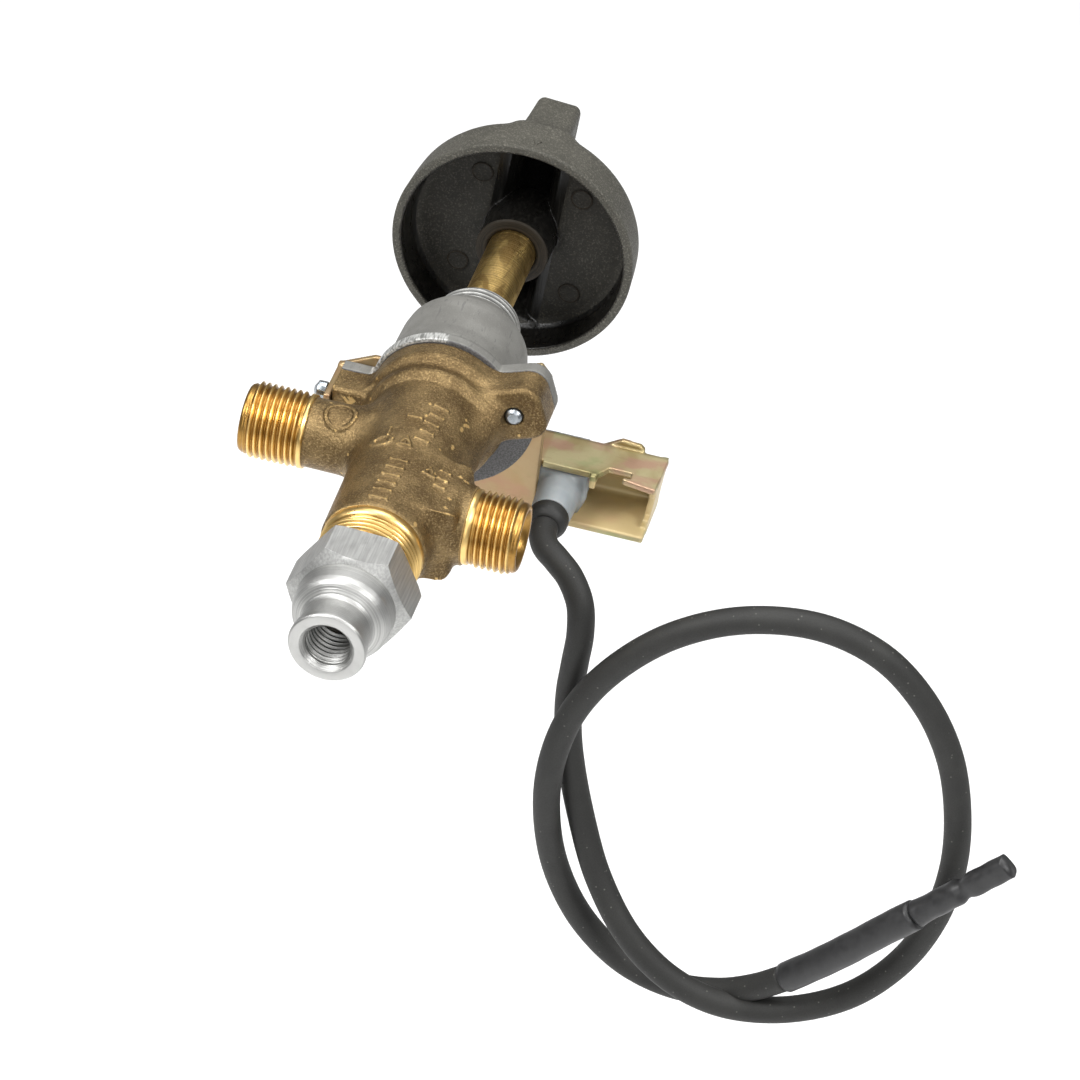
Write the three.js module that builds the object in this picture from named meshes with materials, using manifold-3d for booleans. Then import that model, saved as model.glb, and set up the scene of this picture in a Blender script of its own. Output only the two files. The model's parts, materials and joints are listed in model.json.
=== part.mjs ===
// Gas valve with a push-and-turn knob, a flame-failure magnet unit and a piezo igniter.
// Millimetres. The valve axis is Y: the knob is at +Y and the thermocouple socket at -Y.
// X runs from the outlet port to the inlet port, and +Z is the marked side of the body.
// The origin is the centre of the bonnet's panel shoulder.
import * as THREE from 'three';
import { mergeVertices } from 'three/addons/utils/BufferGeometryUtils.js';
import Module from 'manifold-3d';

const wasm = await Module();
wasm.setup();

// ---- driving dimensions ----
const THREAD_PITCH = 1;
const THREAD_DEPTH = 0.6;
const FIT_GAP = 0.3;

const PANEL_THREAD_R = 7;
const PANEL_THREAD_LENGTH = 4.6;
const BONNET_R = 10.6;
const BONNET_WALL = 1.8;
const BONNET_BASE_Y = -19.2;
const FLANGE_THICKNESS = 2.5;
const FLANGE_TOP_Y = BONNET_BASE_Y + FLANGE_THICKNESS;

const BODY_TOP_Y = -19.3;
const COLLAR_R = 11.1;
const BARREL_END_Y = -60.4;
const BODY_END_Y = -66.9;
const NECK_R = 8;
const PORT_R = 6;
const PORT_BORE_R = 3.6;
const OUTLET_Y = -34.8;
const OUTLET_END_X = -27.3;
const OUTLET_THREAD_X = -17.6;
const INLET_Y = -49;
const INLET_END_X = 20.8;
const INLET_BLOCK_X = 11.3;
const INLET_BLOCK_HALF = 6.4;

const EAR_ANGLE = 20;
const EAR_RADIUS = 18.3;
const EAR_HALF = 4.6;
const EAR_DEPTH = 5.7;
const SCREW_CIRCLE_R = 13.5;
const SCREW_R = 1.4;
const LUG_FACE_X = -16.5;

const STEM_R = 4;
const STEM_SHANK_R = 3;
const STEM_SHOULDER_Y = -1.6;
const STEM_TOP_Y = 35.2;
const PUSH_TRAVEL = 2.5;
const PLUG_TOP_Y = -20.4;
const PLUG_END_Y = -40.4;
const SEAT_TOP_Y = -41;
const SEAT_FACE_Y = -45;
const CHAMBER_R = 6;
const SPIGOT_TOP_Y = -58.6;

const NUT_BACK_Y = -67.6;
const NUT_FRONT_Y = -74.1;
const NUT_ACROSS_FLATS = 17;
const NOSE_END_Y = -86.3;
const NOSE_R = 6.04;

const KNOB_RIM_Y = 25.8;
const KNOB_R = 20.2;
const KNOB_FLOOR_Y = 32.4;
const KNOB_SHOULDER_Y = 34;
const KNOB_TOP_Y = 36.4;
const GRIP_TOP_Y = 48.4;
const GRIP_HALF = 3.7;
const GRIP_ROOT_HALF = 4.1;
const GRIP_TOP_Z = 16.7;
const KNOB_SET_ANGLE = 4;
const HUB_R = 6.06;

const SHEET = 1;
const PIN_R = 1;
const PIN_Y = -22.5;
const PIN_Z = -0.6;
const BRACKET_PLATE_Y = FLANGE_TOP_Y;
const BRACKET_RIGHT_X = 16.4;
const CHANNEL_END_X = 34.3;
const CHANNEL_FLOOR_Z = -18;
const CHANNEL_ROOF_Z = -10;
const CHANNEL_BACK_Y = -6.3;
const CHANNEL_MOUTH_Y = -17.7;

const IGNITER_X = 20;
const IGNITER_Z = -14.2;
const IGNITER_FACE_Y = -15.6;
const IGNITER_NOSE_Y = -22.6;
const LEAD_R = 2.2;
const SLEEVE_R = 2.55;
const TERMINAL_R = 2.1;

const ARM_TOP_Y = -1.9;
const ARM_THICKNESS = 1.2;
const ARM_HALF = 2.4;
const ARM_LOW_Z = -16.6;
const ARM_HIGH_Z = -13;

// ---- solid helpers ----
function manifold(geometry) {
  geometry.deleteAttribute('normal');
  geometry.deleteAttribute('uv');
  const merged = mergeVertices(geometry, 1e-4);
  const index = Uint32Array.from(merged.index.array);
  const points = merged.attributes.position.array;
  if (signedVolume(points, index) < 0) {
    for (let i = 0; i < index.length; i += 3) {
      [index[i + 1], index[i + 2]] = [index[i + 2], index[i + 1]];
    }
  }
  return new wasm.Manifold(new wasm.Mesh({ numProp: 3, vertProperties: points, triVerts: index }));
}

function signedVolume(points, index) {
  const [a, b, c] = [new THREE.Vector3(), new THREE.Vector3(), new THREE.Vector3()];
  let volume = 0;
  for (let i = 0; i < index.length; i += 3) {
    a.fromArray(points, index[i] * 3);
    b.fromArray(points, index[i + 1] * 3);
    c.fromArray(points, index[i + 2] * 3);
    volume += a.dot(b.cross(c)) / 6;
  }
  return volume;
}

// A turned piece about Y. Each profile point is [radius, y].
function turned(profile, segments = 40) {
  const points = profile.map(([r, y]) => new THREE.Vector2(Math.max(r, 0), y));
  return manifold(new THREE.LatheGeometry(points, segments));
}

// A turned ring or tube: the profile closes on itself.
function ring(profile, segments = 48) {
  return turned([...profile, profile[0]], segments);
}

function rod(radius, fromY, toY, segments = 32) {
  return turned([[0, fromY], [radius, fromY], [radius, toY], [0, toY]], segments);
}

function along(solid, [x, y, z], degrees) {
  return solid.rotate(degrees).translate([x, y, z]);
}

// A turned piece about a line parallel to X: y of the profile becomes x.
function turnedX(profile, y, z = 0, segments = 24) {
  return along(turned(profile, segments), [0, y, z], [0, 0, -90]);
}

function rodX(radius, fromX, toX, y, z = 0, segments = 24) {
  return turnedX([[0, fromX], [radius, fromX], [radius, toX], [0, toX]], y, z, segments);
}

function block([x0, y0, z0], [x1, y1, z1]) {
  const box = new THREE.BoxGeometry(x1 - x0, y1 - y0, z1 - z0);
  box.translate((x0 + x1) / 2, (y0 + y1) / 2, (z0 + z1) / 2);
  return manifold(box);
}

function roundedRect(x0, y0, x1, y1, r) {
  const shape = new THREE.Shape();
  shape.moveTo(x0 + r, y0);
  shape.lineTo(x1 - r, y0);
  shape.absarc(x1 - r, y0 + r, r, -Math.PI / 2, 0);
  shape.lineTo(x1, y1 - r);
  shape.absarc(x1 - r, y1 - r, r, 0, Math.PI / 2);
  shape.lineTo(x0 + r, y1);
  shape.absarc(x0 + r, y1 - r, r, Math.PI / 2, Math.PI);
  shape.lineTo(x0, y0 + r);
  shape.absarc(x0 + r, y0 + r, r, Math.PI, Math.PI * 1.5);
  return shape;
}

function polygon(points) {
  return new THREE.Shape(points.map(([x, y]) => new THREE.Vector2(x, y)));
}

// A flat piece with its outline in XZ, from one Y to another. A bevel rounds its edges.
function plateY(shape, fromY, toY, bevel = 0, curveSegments = 5) {
  const geometry = new THREE.ExtrudeGeometry(shape, {
    depth: toY - fromY - 2 * bevel,
    bevelEnabled: bevel > 0,
    bevelThickness: bevel,
    bevelSize: bevel,
    bevelOffset: -bevel,
    bevelSegments: 1,
    curveSegments,
  });
  const axes = new THREE.Matrix4().makeBasis(
    new THREE.Vector3(1, 0, 0), new THREE.Vector3(0, 0, 1), new THREE.Vector3(0, -1, 0));
  geometry.applyMatrix4(axes);
  geometry.translate(0, toY - bevel, 0);
  return manifold(geometry);
}

// A flat piece with its outline in XY, from one Z to another.
function plateZ(shape, fromZ, toZ, curveSegments = 5) {
  const geometry = new THREE.ExtrudeGeometry(shape, {
    depth: toZ - fromZ, bevelEnabled: false, curveSegments,
  });
  geometry.translate(0, 0, fromZ);
  return manifold(geometry);
}

// A flat piece with its outline in YZ, from one X to another.
function plateX(shape, fromX, toX, bevel = 0, curveSegments = 5) {
  const geometry = new THREE.ExtrudeGeometry(shape, {
    depth: toX - fromX - 2 * bevel,
    bevelEnabled: bevel > 0,
    bevelThickness: bevel,
    bevelSize: bevel,
    bevelOffset: -bevel,
    bevelSegments: 1,
    curveSegments,
  });
  const axes = new THREE.Matrix4().makeBasis(
    new THREE.Vector3(0, 1, 0), new THREE.Vector3(0, 0, 1), new THREE.Vector3(1, 0, 0));
  geometry.applyMatrix4(axes);
  geometry.translate(fromX + bevel, 0, 0);
  return manifold(geometry);
}

// Turns a solid about the valve axis, from +X towards +Z.
function swing(solid, degrees) {
  return solid.rotate([0, -degrees, 0]);
}

// Ring-shaped crests of a thread as profile points, running from one end to the other.
function threadProfile(crestR, rootR, from, to) {
  const direction = Math.sign(to - from);
  const turns = Math.floor(Math.abs(to - from) / THREAD_PITCH);
  const points = [];
  for (let i = 0; i < turns; i += 1) {
    const start = from + direction * i * THREAD_PITCH;
    points.push([rootR, start]);
    points.push([crestR, start + direction * THREAD_PITCH / 2]);
  }
  points.push([rootR, from + direction * turns * THREAD_PITCH]);
  return points;
}

function sheetSteel(color = 0xb8a468) {
  return new THREE.MeshStandardMaterial({ color, roughness: 0.38, metalness: 0.85 });
}

const materials = {
  forgedBrass: () => new THREE.MeshStandardMaterial({ color: 0x7d6238, roughness: 0.55, metalness: 0.8 }),
  turnedBrass: () => new THREE.MeshStandardMaterial({ color: 0xc79a45, roughness: 0.3, metalness: 0.95 }),
  castAluminium: () => new THREE.MeshStandardMaterial({ color: 0x9a9b9a, roughness: 0.6, metalness: 0.7 }),
  turnedAluminium: () => new THREE.MeshStandardMaterial({
    color: 0xc9c9c4, roughness: 0.32, metalness: 0.9,
  }),
  zincSteel: () => new THREE.MeshStandardMaterial({ color: 0xb4b8bb, roughness: 0.35, metalness: 0.9 }),
  springSteel: () => new THREE.MeshStandardMaterial({ color: 0x8d9094, roughness: 0.35, metalness: 0.9 }),
  knobPlastic: () => new THREE.MeshStandardMaterial({ color: 0x45443f, roughness: 0.62, metalness: 0 }),
  greyPlastic: () => new THREE.MeshStandardMaterial({ color: 0xaab0b2, roughness: 0.45, metalness: 0 }),
  blackRubber: () => new THREE.MeshStandardMaterial({ color: 0x262625, roughness: 0.7, metalness: 0 }),
  leadRubber: () => new THREE.MeshStandardMaterial({ color: 0x3a3a38, roughness: 0.65, metalness: 0 }),
  sleeve: () => new THREE.MeshStandardMaterial({ color: 0x2b2b2c, roughness: 0.5, metalness: 0 }),
  gasket: () => new THREE.MeshStandardMaterial({ color: 0x30302e, roughness: 0.85, metalness: 0 }),
  ceramic: () => new THREE.MeshStandardMaterial({ color: 0xd9d4c7, roughness: 0.6, metalness: 0 }),
  copper: () => new THREE.MeshStandardMaterial({ color: 0xb46a3c, roughness: 0.35, metalness: 0.9 }),
};

const group = new THREE.Group();
group.name = 'gas_valve';

function addPart(name, solid, material) {
  const source = solid.getMesh();
  const geometry = new THREE.BufferGeometry();
  geometry.setAttribute('position', new THREE.BufferAttribute(source.vertProperties, 3));
  geometry.setIndex(new THREE.BufferAttribute(source.triVerts, 1));
  geometry.computeVertexNormals();
  const mesh = new THREE.Mesh(geometry, material);
  mesh.name = name;
  group.add(mesh);
}

// ---- brass body ----
const screwX = SCREW_CIRCLE_R * Math.cos(THREE.MathUtils.degToRad(EAR_ANGLE));
const screwZ = SCREW_CIRCLE_R * Math.sin(THREE.MathUtils.degToRad(EAR_ANGLE));
const screwPlaces = [[screwX, screwZ], [-screwX, -screwZ]];

// Both ears of the body or of the bonnet flange, with their left end cut to the lug's face.
function ears(fromY, toY, bevel) {
  const ear = plateY(roundedRect(6, -EAR_HALF, EAR_RADIUS, EAR_HALF, 3), fromY, toY, bevel);
  const lug = plateY(roundedRect(LUG_FACE_X, -6.5, -8, 2, 1.2), fromY, toY, bevel);
  const beyondLug = block([-30, fromY - 1, -20], [LUG_FACE_X, toY + 1, 20]);
  const both = swing(ear, EAR_ANGLE).add(swing(ear, EAR_ANGLE + 180)).add(lug);
  return both.subtract(beyondLug);
}

function portCutter(endX, meetX, y, innerR) {
  const side = Math.sign(endX);
  const chamfer = [[0, endX + side], [PORT_BORE_R + 0.9, endX + side], [PORT_BORE_R + 0.9, endX],
    [PORT_BORE_R, endX - side * 0.9], [PORT_BORE_R, endX - side * 7], [innerR, endX - side * 8],
    [innerR, meetX], [0, meetX]];
  return turnedX(chamfer, y);
}

function portThread(startX, endX, y) {
  const side = Math.sign(endX);
  const root = PORT_R - THREAD_DEPTH;
  const profile = [[0, startX], [PORT_R - 0.3, startX], [PORT_R - 0.3, startX + side * 0.4],
    ...threadProfile(PORT_R, root, startX + side * 0.6, endX - side * 0.5),
    [root - 0.2, endX], [0, endX]];
  return turnedX(profile, y);
}

function raisedMarks() {
  const arrow = (x, y, size, topZ) => plateZ(
    polygon([[x - size, y - size], [x + size, y - size], [x, y + size]]), topZ - 2, topZ);
  const pad = new THREE.Shape();
  pad.absellipse(-3.7, -43.2, 1.5, 1, 0, Math.PI * 2);
  return arrow(-0.8, -42, 1.1, 9.15)
    .add(arrow(5.6, -47.6, 1.1, INLET_BLOCK_HALF + 0.35))
    .add(plateZ(pad, 6.5, 8.5, 4));
}

function plugSeatRadius(y) {
  return 6.9 + (y - BODY_TOP_Y) * 0.055;
}

function valveBody() {
  const barrel = turned([
    [0, BODY_TOP_Y], [COLLAR_R - 0.4, BODY_TOP_Y], [COLLAR_R, BODY_TOP_Y - 0.5],
    [COLLAR_R, -24.4], [COLLAR_R - 0.5, -25.4], [9.75, -26.4], [9.4, -27.4], [9.55, -28.4],
    [9.35, -30.5], [8.75, -40], [8.5, -48], [8.3, BARREL_END_Y + 0.3], [8.15, BARREL_END_Y],
    [NECK_R, BARREL_END_Y - 0.1],
    ...threadProfile(NECK_R, NECK_R - THREAD_DEPTH, BARREL_END_Y - 1.9, BODY_END_Y + 0.4),
    [NECK_R - 0.9, BODY_END_Y], [0, BODY_END_Y],
  ], 36);
  const outletNeck = rodX(5.5, OUTLET_THREAD_X, 0, OUTLET_Y, 0, 24)
    .intersect(block([OUTLET_THREAD_X, -50, -4.7], [0, -20, 8]));
  const inletBlock = plateX(roundedRect(INLET_Y - 6.8, -INLET_BLOCK_HALF, INLET_Y + 6.2,
    INLET_BLOCK_HALF, 1.6), 0, INLET_BLOCK_X, 0.5);
  const outer = barrel
    .add(ears(BODY_TOP_Y - EAR_DEPTH, BODY_TOP_Y, 0.6))
    .add(outletNeck)
    .add(inletBlock)
    .add(rodX(PORT_R + 0.2, 0, INLET_BLOCK_X + 1.1, INLET_Y))
    .add(portThread(OUTLET_THREAD_X, OUTLET_END_X, OUTLET_Y))
    .add(portThread(INLET_BLOCK_X + 1.1, INLET_END_X, INLET_Y))
    .add(raisedMarks());
  const plugBore = turned([
    [0, BODY_TOP_Y + 1], [8.5, BODY_TOP_Y + 1], [8.5, -20.8], [plugSeatRadius(-20.8), -20.8],
    [plugSeatRadius(SEAT_TOP_Y), SEAT_TOP_Y], [3, SEAT_TOP_Y], [3, SEAT_FACE_Y],
    [CHAMBER_R, SEAT_FACE_Y], [CHAMBER_R, SPIGOT_TOP_Y + 0.1], [6.5, SPIGOT_TOP_Y + 0.1],
    [6.5, BODY_END_Y - 1], [0, BODY_END_Y - 1],
  ], 32);
  const gasketSeat = ring([
    [8.8, BODY_TOP_Y - 0.9], [10.1, BODY_TOP_Y - 0.9], [10.1, BODY_TOP_Y + 1], [8.8, BODY_TOP_Y + 1],
  ], 32);
  let body = outer.subtract(plugBore).subtract(gasketSeat)
    .subtract(portCutter(OUTLET_END_X, -3, OUTLET_Y, 2.6))
    .subtract(portCutter(INLET_END_X, 3, INLET_Y, 3));
  for (const [x, z] of screwPlaces) {
    body = body.subtract(rod(SCREW_R + 0.05, -27, -18, 16).translate([x, 0, z]));
  }
  return body.subtract(rodX(PIN_R + 0.05, -20, -12, PIN_Y, PIN_Z, 12));
}

// ---- bonnet ----
function bonnetFlange() {
  const upper = rod(11.7, BONNET_BASE_Y, FLANGE_TOP_Y, 40);
  const lowerDisc = rod(15.3, BONNET_BASE_Y, FLANGE_TOP_Y, 40)
    .intersect(block([-12.5, -25, -20], [20, -10, -0.5]));
  return upper.add(lowerDisc).add(ears(BONNET_BASE_Y, FLANGE_TOP_Y, 0.3));
}

function bonnet() {
  const root = PANEL_THREAD_R - THREAD_DEPTH;
  const dome = turned([
    [0, BONNET_BASE_Y], [11, BONNET_BASE_Y], [11.1, -16.2], [BONNET_R, -13], [BONNET_R - 0.15, -6],
    [BONNET_R - 0.4, -4.2], [BONNET_R - 1, -3], [BONNET_R - 1.7, -1.9], [BONNET_R - 2.4, -0.8], [7.8, 0],
    [PANEL_THREAD_R, 0], [PANEL_THREAD_R, 0.3],
    ...threadProfile(PANEL_THREAD_R, root, 0.4, PANEL_THREAD_LENGTH - 0.4),
    [root - 0.3, PANEL_THREAD_LENGTH], [0, PANEL_THREAD_LENGTH],
  ], 36);
  const hollow = turned([
    [0, BONNET_BASE_Y - 1], [BONNET_R - BONNET_WALL, BONNET_BASE_Y - 1],
    [BONNET_R - BONNET_WALL, -4], [BONNET_R - BONNET_WALL - 1.4, -1.5], [STEM_R + FIT_GAP, -1.5],
    [STEM_R + FIT_GAP, 1.2], [5.4, 1.2], [5.4, 2.6], [STEM_R + FIT_GAP, 2.6],
    [STEM_R + FIT_GAP, PANEL_THREAD_LENGTH + 1], [0, PANEL_THREAD_LENGTH + 1],
  ], 32);
  const armSlot = block([-ARM_HALF - 0.7, ARM_TOP_Y - ARM_THICKNESS - PUSH_TRAVEL - 0.9, -14],
    [ARM_HALF + 0.7, -1.5, -6]);
  let solid = dome.add(bonnetFlange()).subtract(hollow).subtract(armSlot);
  for (const [x, z] of screwPlaces) {
    solid = solid.subtract(rod(SCREW_R + 0.15, -21, -14, 16).translate([x, 0, z]));
  }
  return solid;
}

function bonnetScrew([x, z]) {
  const headY = BRACKET_PLATE_Y + SHEET;
  const screw = turned([
    [0, -25.7], [SCREW_R - 0.5, -25.7], [SCREW_R, -25.2], [SCREW_R, headY], [2.5, headY],
    [2.5, headY + 1.1], [1.7, headY + 1.9], [0, headY + 1.9],
  ], 16);
  const slot = block([-4, headY + 1.1, -0.35], [4, headY + 3, 0.35]);
  return screw.subtract(slot).translate([x, 0, z]);
}

// ---- stem, plug and push arm ----
// The knob stands a few degrees round from upright at rest.
function knobSet(solid) {
  return solid.rotate([0, KNOB_SET_ANGLE, 0]);
}

function stem() {
  const turnedStem = turned([
    [0, -24], [STEM_SHANK_R, -24], [STEM_SHANK_R, -4.3], [2.6, -4.3], [2.6, -3.4],
    [STEM_SHANK_R, -3.4], [STEM_SHANK_R, STEM_SHOULDER_Y], [STEM_R, STEM_SHOULDER_Y],
    [STEM_R, STEM_TOP_Y - 0.6], [STEM_R - 0.6, STEM_TOP_Y], [0, STEM_TOP_Y],
  ], 32);
  const tongueCut = block([1.2, -25, -5], [5, -17, 5]);
  const driveFlat = block([-5, KNOB_RIM_Y + 0.8, -6], [5, STEM_TOP_Y + 1, -2.6]);
  return turnedStem.subtract(tongueCut).subtract(tongueCut.rotate([0, 180, 0]))
    .subtract(knobSet(driveFlat));
}

function stemCirclip() {
  const washer = ring([[2.75, -4.15], [4.4, -4.15], [4.4, -3.55], [2.75, -3.55]], 24);
  return washer.subtract(block([-0.9, -6, 0], [0.9, -2, 6]));
}

// The arm drops from the collar behind the channel and turns along it to the plunger.
function pushArm() {
  const bottomY = ARM_TOP_Y - ARM_THICKNESS;
  const endX = IGNITER_X + 2.2;
  const outline = polygon([
    [-ARM_HALF, -4], [-ARM_HALF, ARM_LOW_Z + 1.4], [1.4 - ARM_HALF, ARM_LOW_Z], [endX - 1.4, ARM_LOW_Z],
    [endX, ARM_LOW_Z + 1.4], [endX, ARM_HIGH_Z - 0.8], [endX - 0.8, ARM_HIGH_Z],
    [ARM_HALF + 1.2, ARM_HIGH_Z], [ARM_HALF, ARM_HIGH_Z + 1.2], [ARM_HALF, -4],
  ]);
  const arm = plateY(outline, bottomY, ARM_TOP_Y);
  return rod(7, bottomY, ARM_TOP_Y, 32).add(arm)
    .subtract(rod(STEM_SHANK_R + FIT_GAP, -10, 0, 24));
}

function taperPlug() {
  const gap = FIT_GAP;
  const cone = turned([
    [0, PLUG_END_Y], [plugSeatRadius(PLUG_END_Y) - gap, PLUG_END_Y],
    [plugSeatRadius(PLUG_TOP_Y) - gap, PLUG_TOP_Y], [0, PLUG_TOP_Y],
  ], 32);
  const slot = block([-1.5, -28.6, -3.4], [1.5, PLUG_TOP_Y + 1, 3.4]);
  const rodWay = rod(1.7, -34, -28, 16);
  const gasWay = rod(2.8, PLUG_END_Y - 1, -32.6, 24);
  const mainHole = rod(2.2, 0, 8, 20).rotate([-90, 0, 0]).translate([0, OUTLET_Y, 0]);
  const lowFlameHole = rodX(0.8, 0, 8, OUTLET_Y, 0, 12);
  return cone.subtract(slot).subtract(rodWay).subtract(gasWay)
    .subtract(mainHole).subtract(lowFlameHole);
}

// A round-wire coil about the line parallel to Y through x, z, with its ends cut square.
function coilSpring(radius, wireR, fromY, toY, turns, x = 0, z = 0) {
  class Coil extends THREE.Curve {
    getPoint(t, target = new THREE.Vector3()) {
      const angle = t * turns * Math.PI * 2;
      const y = fromY + wireR + t * (toY - fromY - 2 * wireR);
      return target.set(radius * Math.cos(angle), y, radius * Math.sin(angle));
    }
  }
  const section = new THREE.Shape();
  section.absarc(0, 0, wireR, 0, Math.PI * 2);
  const wire = new THREE.ExtrudeGeometry(section, {
    steps: Math.round(turns * 9), curveSegments: 3, bevelEnabled: false, extrudePath: new Coil(),
  });
  return manifold(wire).translate([x, 0, z]);
}

// ---- flame-failure valve and magnet unit ----
function pushRod() {
  return rod(1.1, SEAT_FACE_Y - 0.5, -24.4, 16);
}

function safetySeal() {
  return ring([[1.7, -45.8], [4.4, -45.8], [4.4, -45.2], [1.7, -45.2]], 28);
}

function safetyDisc() {
  return turned([
    [0, -56.4], [1.1, -56.4], [1.1, -47], [4.6, -47], [4.6, -45.85], [1.4, -45.85], [1.4, -45.8],
    [0, -45.8],
  ], 28);
}

function armature() {
  return rod(3.4, -57.6, -56.45, 24);
}

function magnetHousing() {
  const flangeTop = SPIGOT_TOP_Y;
  return ring([
    [1.6, -54], [1.6, -54.6], [4.4, -54.6], [4.4, -65.2], [1.5, -65.2], [1.5, -66], [5, -66],
    [5, flangeTop - 0.7], [6.3, flangeTop - 0.7], [6.3, flangeTop], [5, flangeTop], [5, -54],
  ], 32);
}

function magnetCore() {
  return rod(2.9, -65, -60.4, 24);
}

function magnetCoil() {
  return ring([[3.05, -64.6], [4.2, -64.6], [4.2, -61], [3.05, -61]], 24);
}

function thermoContact() {
  return turned([[0, -74.6], [0.9, -74.6], [1.3, -74.2], [1.3, -71.6], [2.2, -71], [2.2, -66.4],
    [1.3, -66.4], [1.3, -65.3], [0, -65.3]], 20);
}

// ---- aluminium adapter nut ----
function adapterNut() {
  const cornerR = NUT_ACROSS_FLATS / Math.sqrt(3);
  const hexBlank = turned([
    [0, NUT_BACK_Y], [cornerR - 0.7, NUT_BACK_Y], [cornerR, NUT_BACK_Y - 0.4],
    [cornerR, NUT_FRONT_Y], [7.76, -75.25], [0, -75.25],
  ], 48);
  const hexPoints = [0, 1, 2, 3, 4, 5].map((i) => {
    const angle = THREE.MathUtils.degToRad(60 * i - 3);
    return [cornerR * Math.cos(angle), cornerR * Math.sin(angle)];
  });
  const hex = hexBlank.intersect(plateY(polygon(hexPoints), -80, -60));
  const nose = turned([
    [0, NOSE_END_Y], [NOSE_R - 0.25, NOSE_END_Y], [NOSE_R, NOSE_END_Y + 0.3],
    [NOSE_R - 0.05, -85.2], [5.5, -82.6], [5.35, -81], [5.55, -80.4], [6.9, -79.5], [7.4, -79],
    [7.58, -78.3], [7.62, -75.4], [0, -75]], 40);
  const spigot = rod(6.2, NUT_BACK_Y - 0.5, -59.4, 32);
  const socket = turned([
    [0, NOSE_END_Y - 1], [4.2, NOSE_END_Y - 1], [4.2, NOSE_END_Y], [3.46, -85.5],
    ...threadProfile(3.95, 3.46, -85.4, -77.4),
    [3.46, -76.4], [2.7, -75.6], [2.7, -66.6], [5.15, -66.2], [5.15, -58], [0, -58],
  ], 20);
  return hex.add(nose).add(spigot).subtract(socket);
}

function nutWasher() {
  return ring([[6.4, -67.5], [7.7, -67.5], [7.7, -67], [6.4, -67]], 32);
}

// ---- knob ----
function knobShell() {
  return turned([
    [0, KNOB_RIM_Y], [KNOB_R - 0.2, KNOB_RIM_Y], [KNOB_R, KNOB_RIM_Y + 0.3],
    [19.7, KNOB_SHOULDER_Y - 1], [19.1, KNOB_SHOULDER_Y + 0.6], [17.8, KNOB_TOP_Y - 0.7],
    [15.8, KNOB_TOP_Y], [0, KNOB_TOP_Y],
  ], 56);
}

// The grip seen along Z: sides with a little draft and a fillet into the knob's top.
function gripSection() {
  const shape = new THREE.Shape();
  const baseY = KNOB_TOP_Y - 2.5;
  const filletHalf = GRIP_ROOT_HALF + 1.5;
  const roundedHalf = GRIP_HALF - 1.8;
  shape.moveTo(-filletHalf, baseY);
  shape.lineTo(filletHalf, baseY);
  shape.lineTo(filletHalf, KNOB_TOP_Y - 0.1);
  shape.quadraticCurveTo(GRIP_ROOT_HALF, KNOB_TOP_Y, GRIP_ROOT_HALF, KNOB_TOP_Y + 1.5);
  shape.lineTo(GRIP_HALF, GRIP_TOP_Y - 1.8);
  shape.quadraticCurveTo(GRIP_HALF - 0.2, GRIP_TOP_Y, roundedHalf, GRIP_TOP_Y);
  shape.lineTo(-roundedHalf, GRIP_TOP_Y);
  shape.quadraticCurveTo(0.2 - GRIP_HALF, GRIP_TOP_Y, -GRIP_HALF, GRIP_TOP_Y - 1.8);
  shape.lineTo(-GRIP_ROOT_HALF, KNOB_TOP_Y + 1.5);
  shape.quadraticCurveTo(-GRIP_ROOT_HALF, KNOB_TOP_Y, -filletHalf, KNOB_TOP_Y - 0.1);
  shape.lineTo(-filletHalf, baseY);
  return shape;
}

// The grip seen along X: its ends rise from the skirt and lean inwards.
function gripSide() {
  const shape = new THREE.Shape();
  const rootY = KNOB_TOP_Y - 3;
  shape.moveTo(rootY, -19.3);
  shape.lineTo(rootY, 19.3);
  shape.quadraticCurveTo(KNOB_TOP_Y + 1, 18, GRIP_TOP_Y - 2, GRIP_TOP_Z + 0.3);
  shape.quadraticCurveTo(GRIP_TOP_Y, GRIP_TOP_Z, GRIP_TOP_Y, GRIP_TOP_Z - 2);
  shape.lineTo(GRIP_TOP_Y, 2 - GRIP_TOP_Z);
  shape.quadraticCurveTo(GRIP_TOP_Y, -GRIP_TOP_Z, GRIP_TOP_Y - 2, -0.3 - GRIP_TOP_Z);
  shape.quadraticCurveTo(KNOB_TOP_Y + 1, -18, rootY, -19.3);
  return shape;
}

// The hollow behind the grip: wide at the knob's floor, then a deep slot.
function gripHollow() {
  const topY = GRIP_TOP_Y - 1.5;
  const across = polygon([
    [-5.8, KNOB_FLOOR_Y - 0.1], [5.8, KNOB_FLOOR_Y - 0.1], [4.2, KNOB_FLOOR_Y + 0.9],
    [3, KNOB_FLOOR_Y + 2.6], [2.7, KNOB_TOP_Y], [2.3, topY], [-2.3, topY], [-2.7, KNOB_TOP_Y],
    [-3, KNOB_FLOOR_Y + 2.6], [-4.2, KNOB_FLOOR_Y + 0.9],
  ]);
  const along = polygon([[KNOB_FLOOR_Y - 2, -16.8], [KNOB_FLOOR_Y - 2, 16.8], [GRIP_TOP_Y, 14.6],
    [GRIP_TOP_Y, -14.6]]);
  return plateZ(across, -17.4, 17.4).intersect(plateX(along, -6, 6));
}

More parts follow.
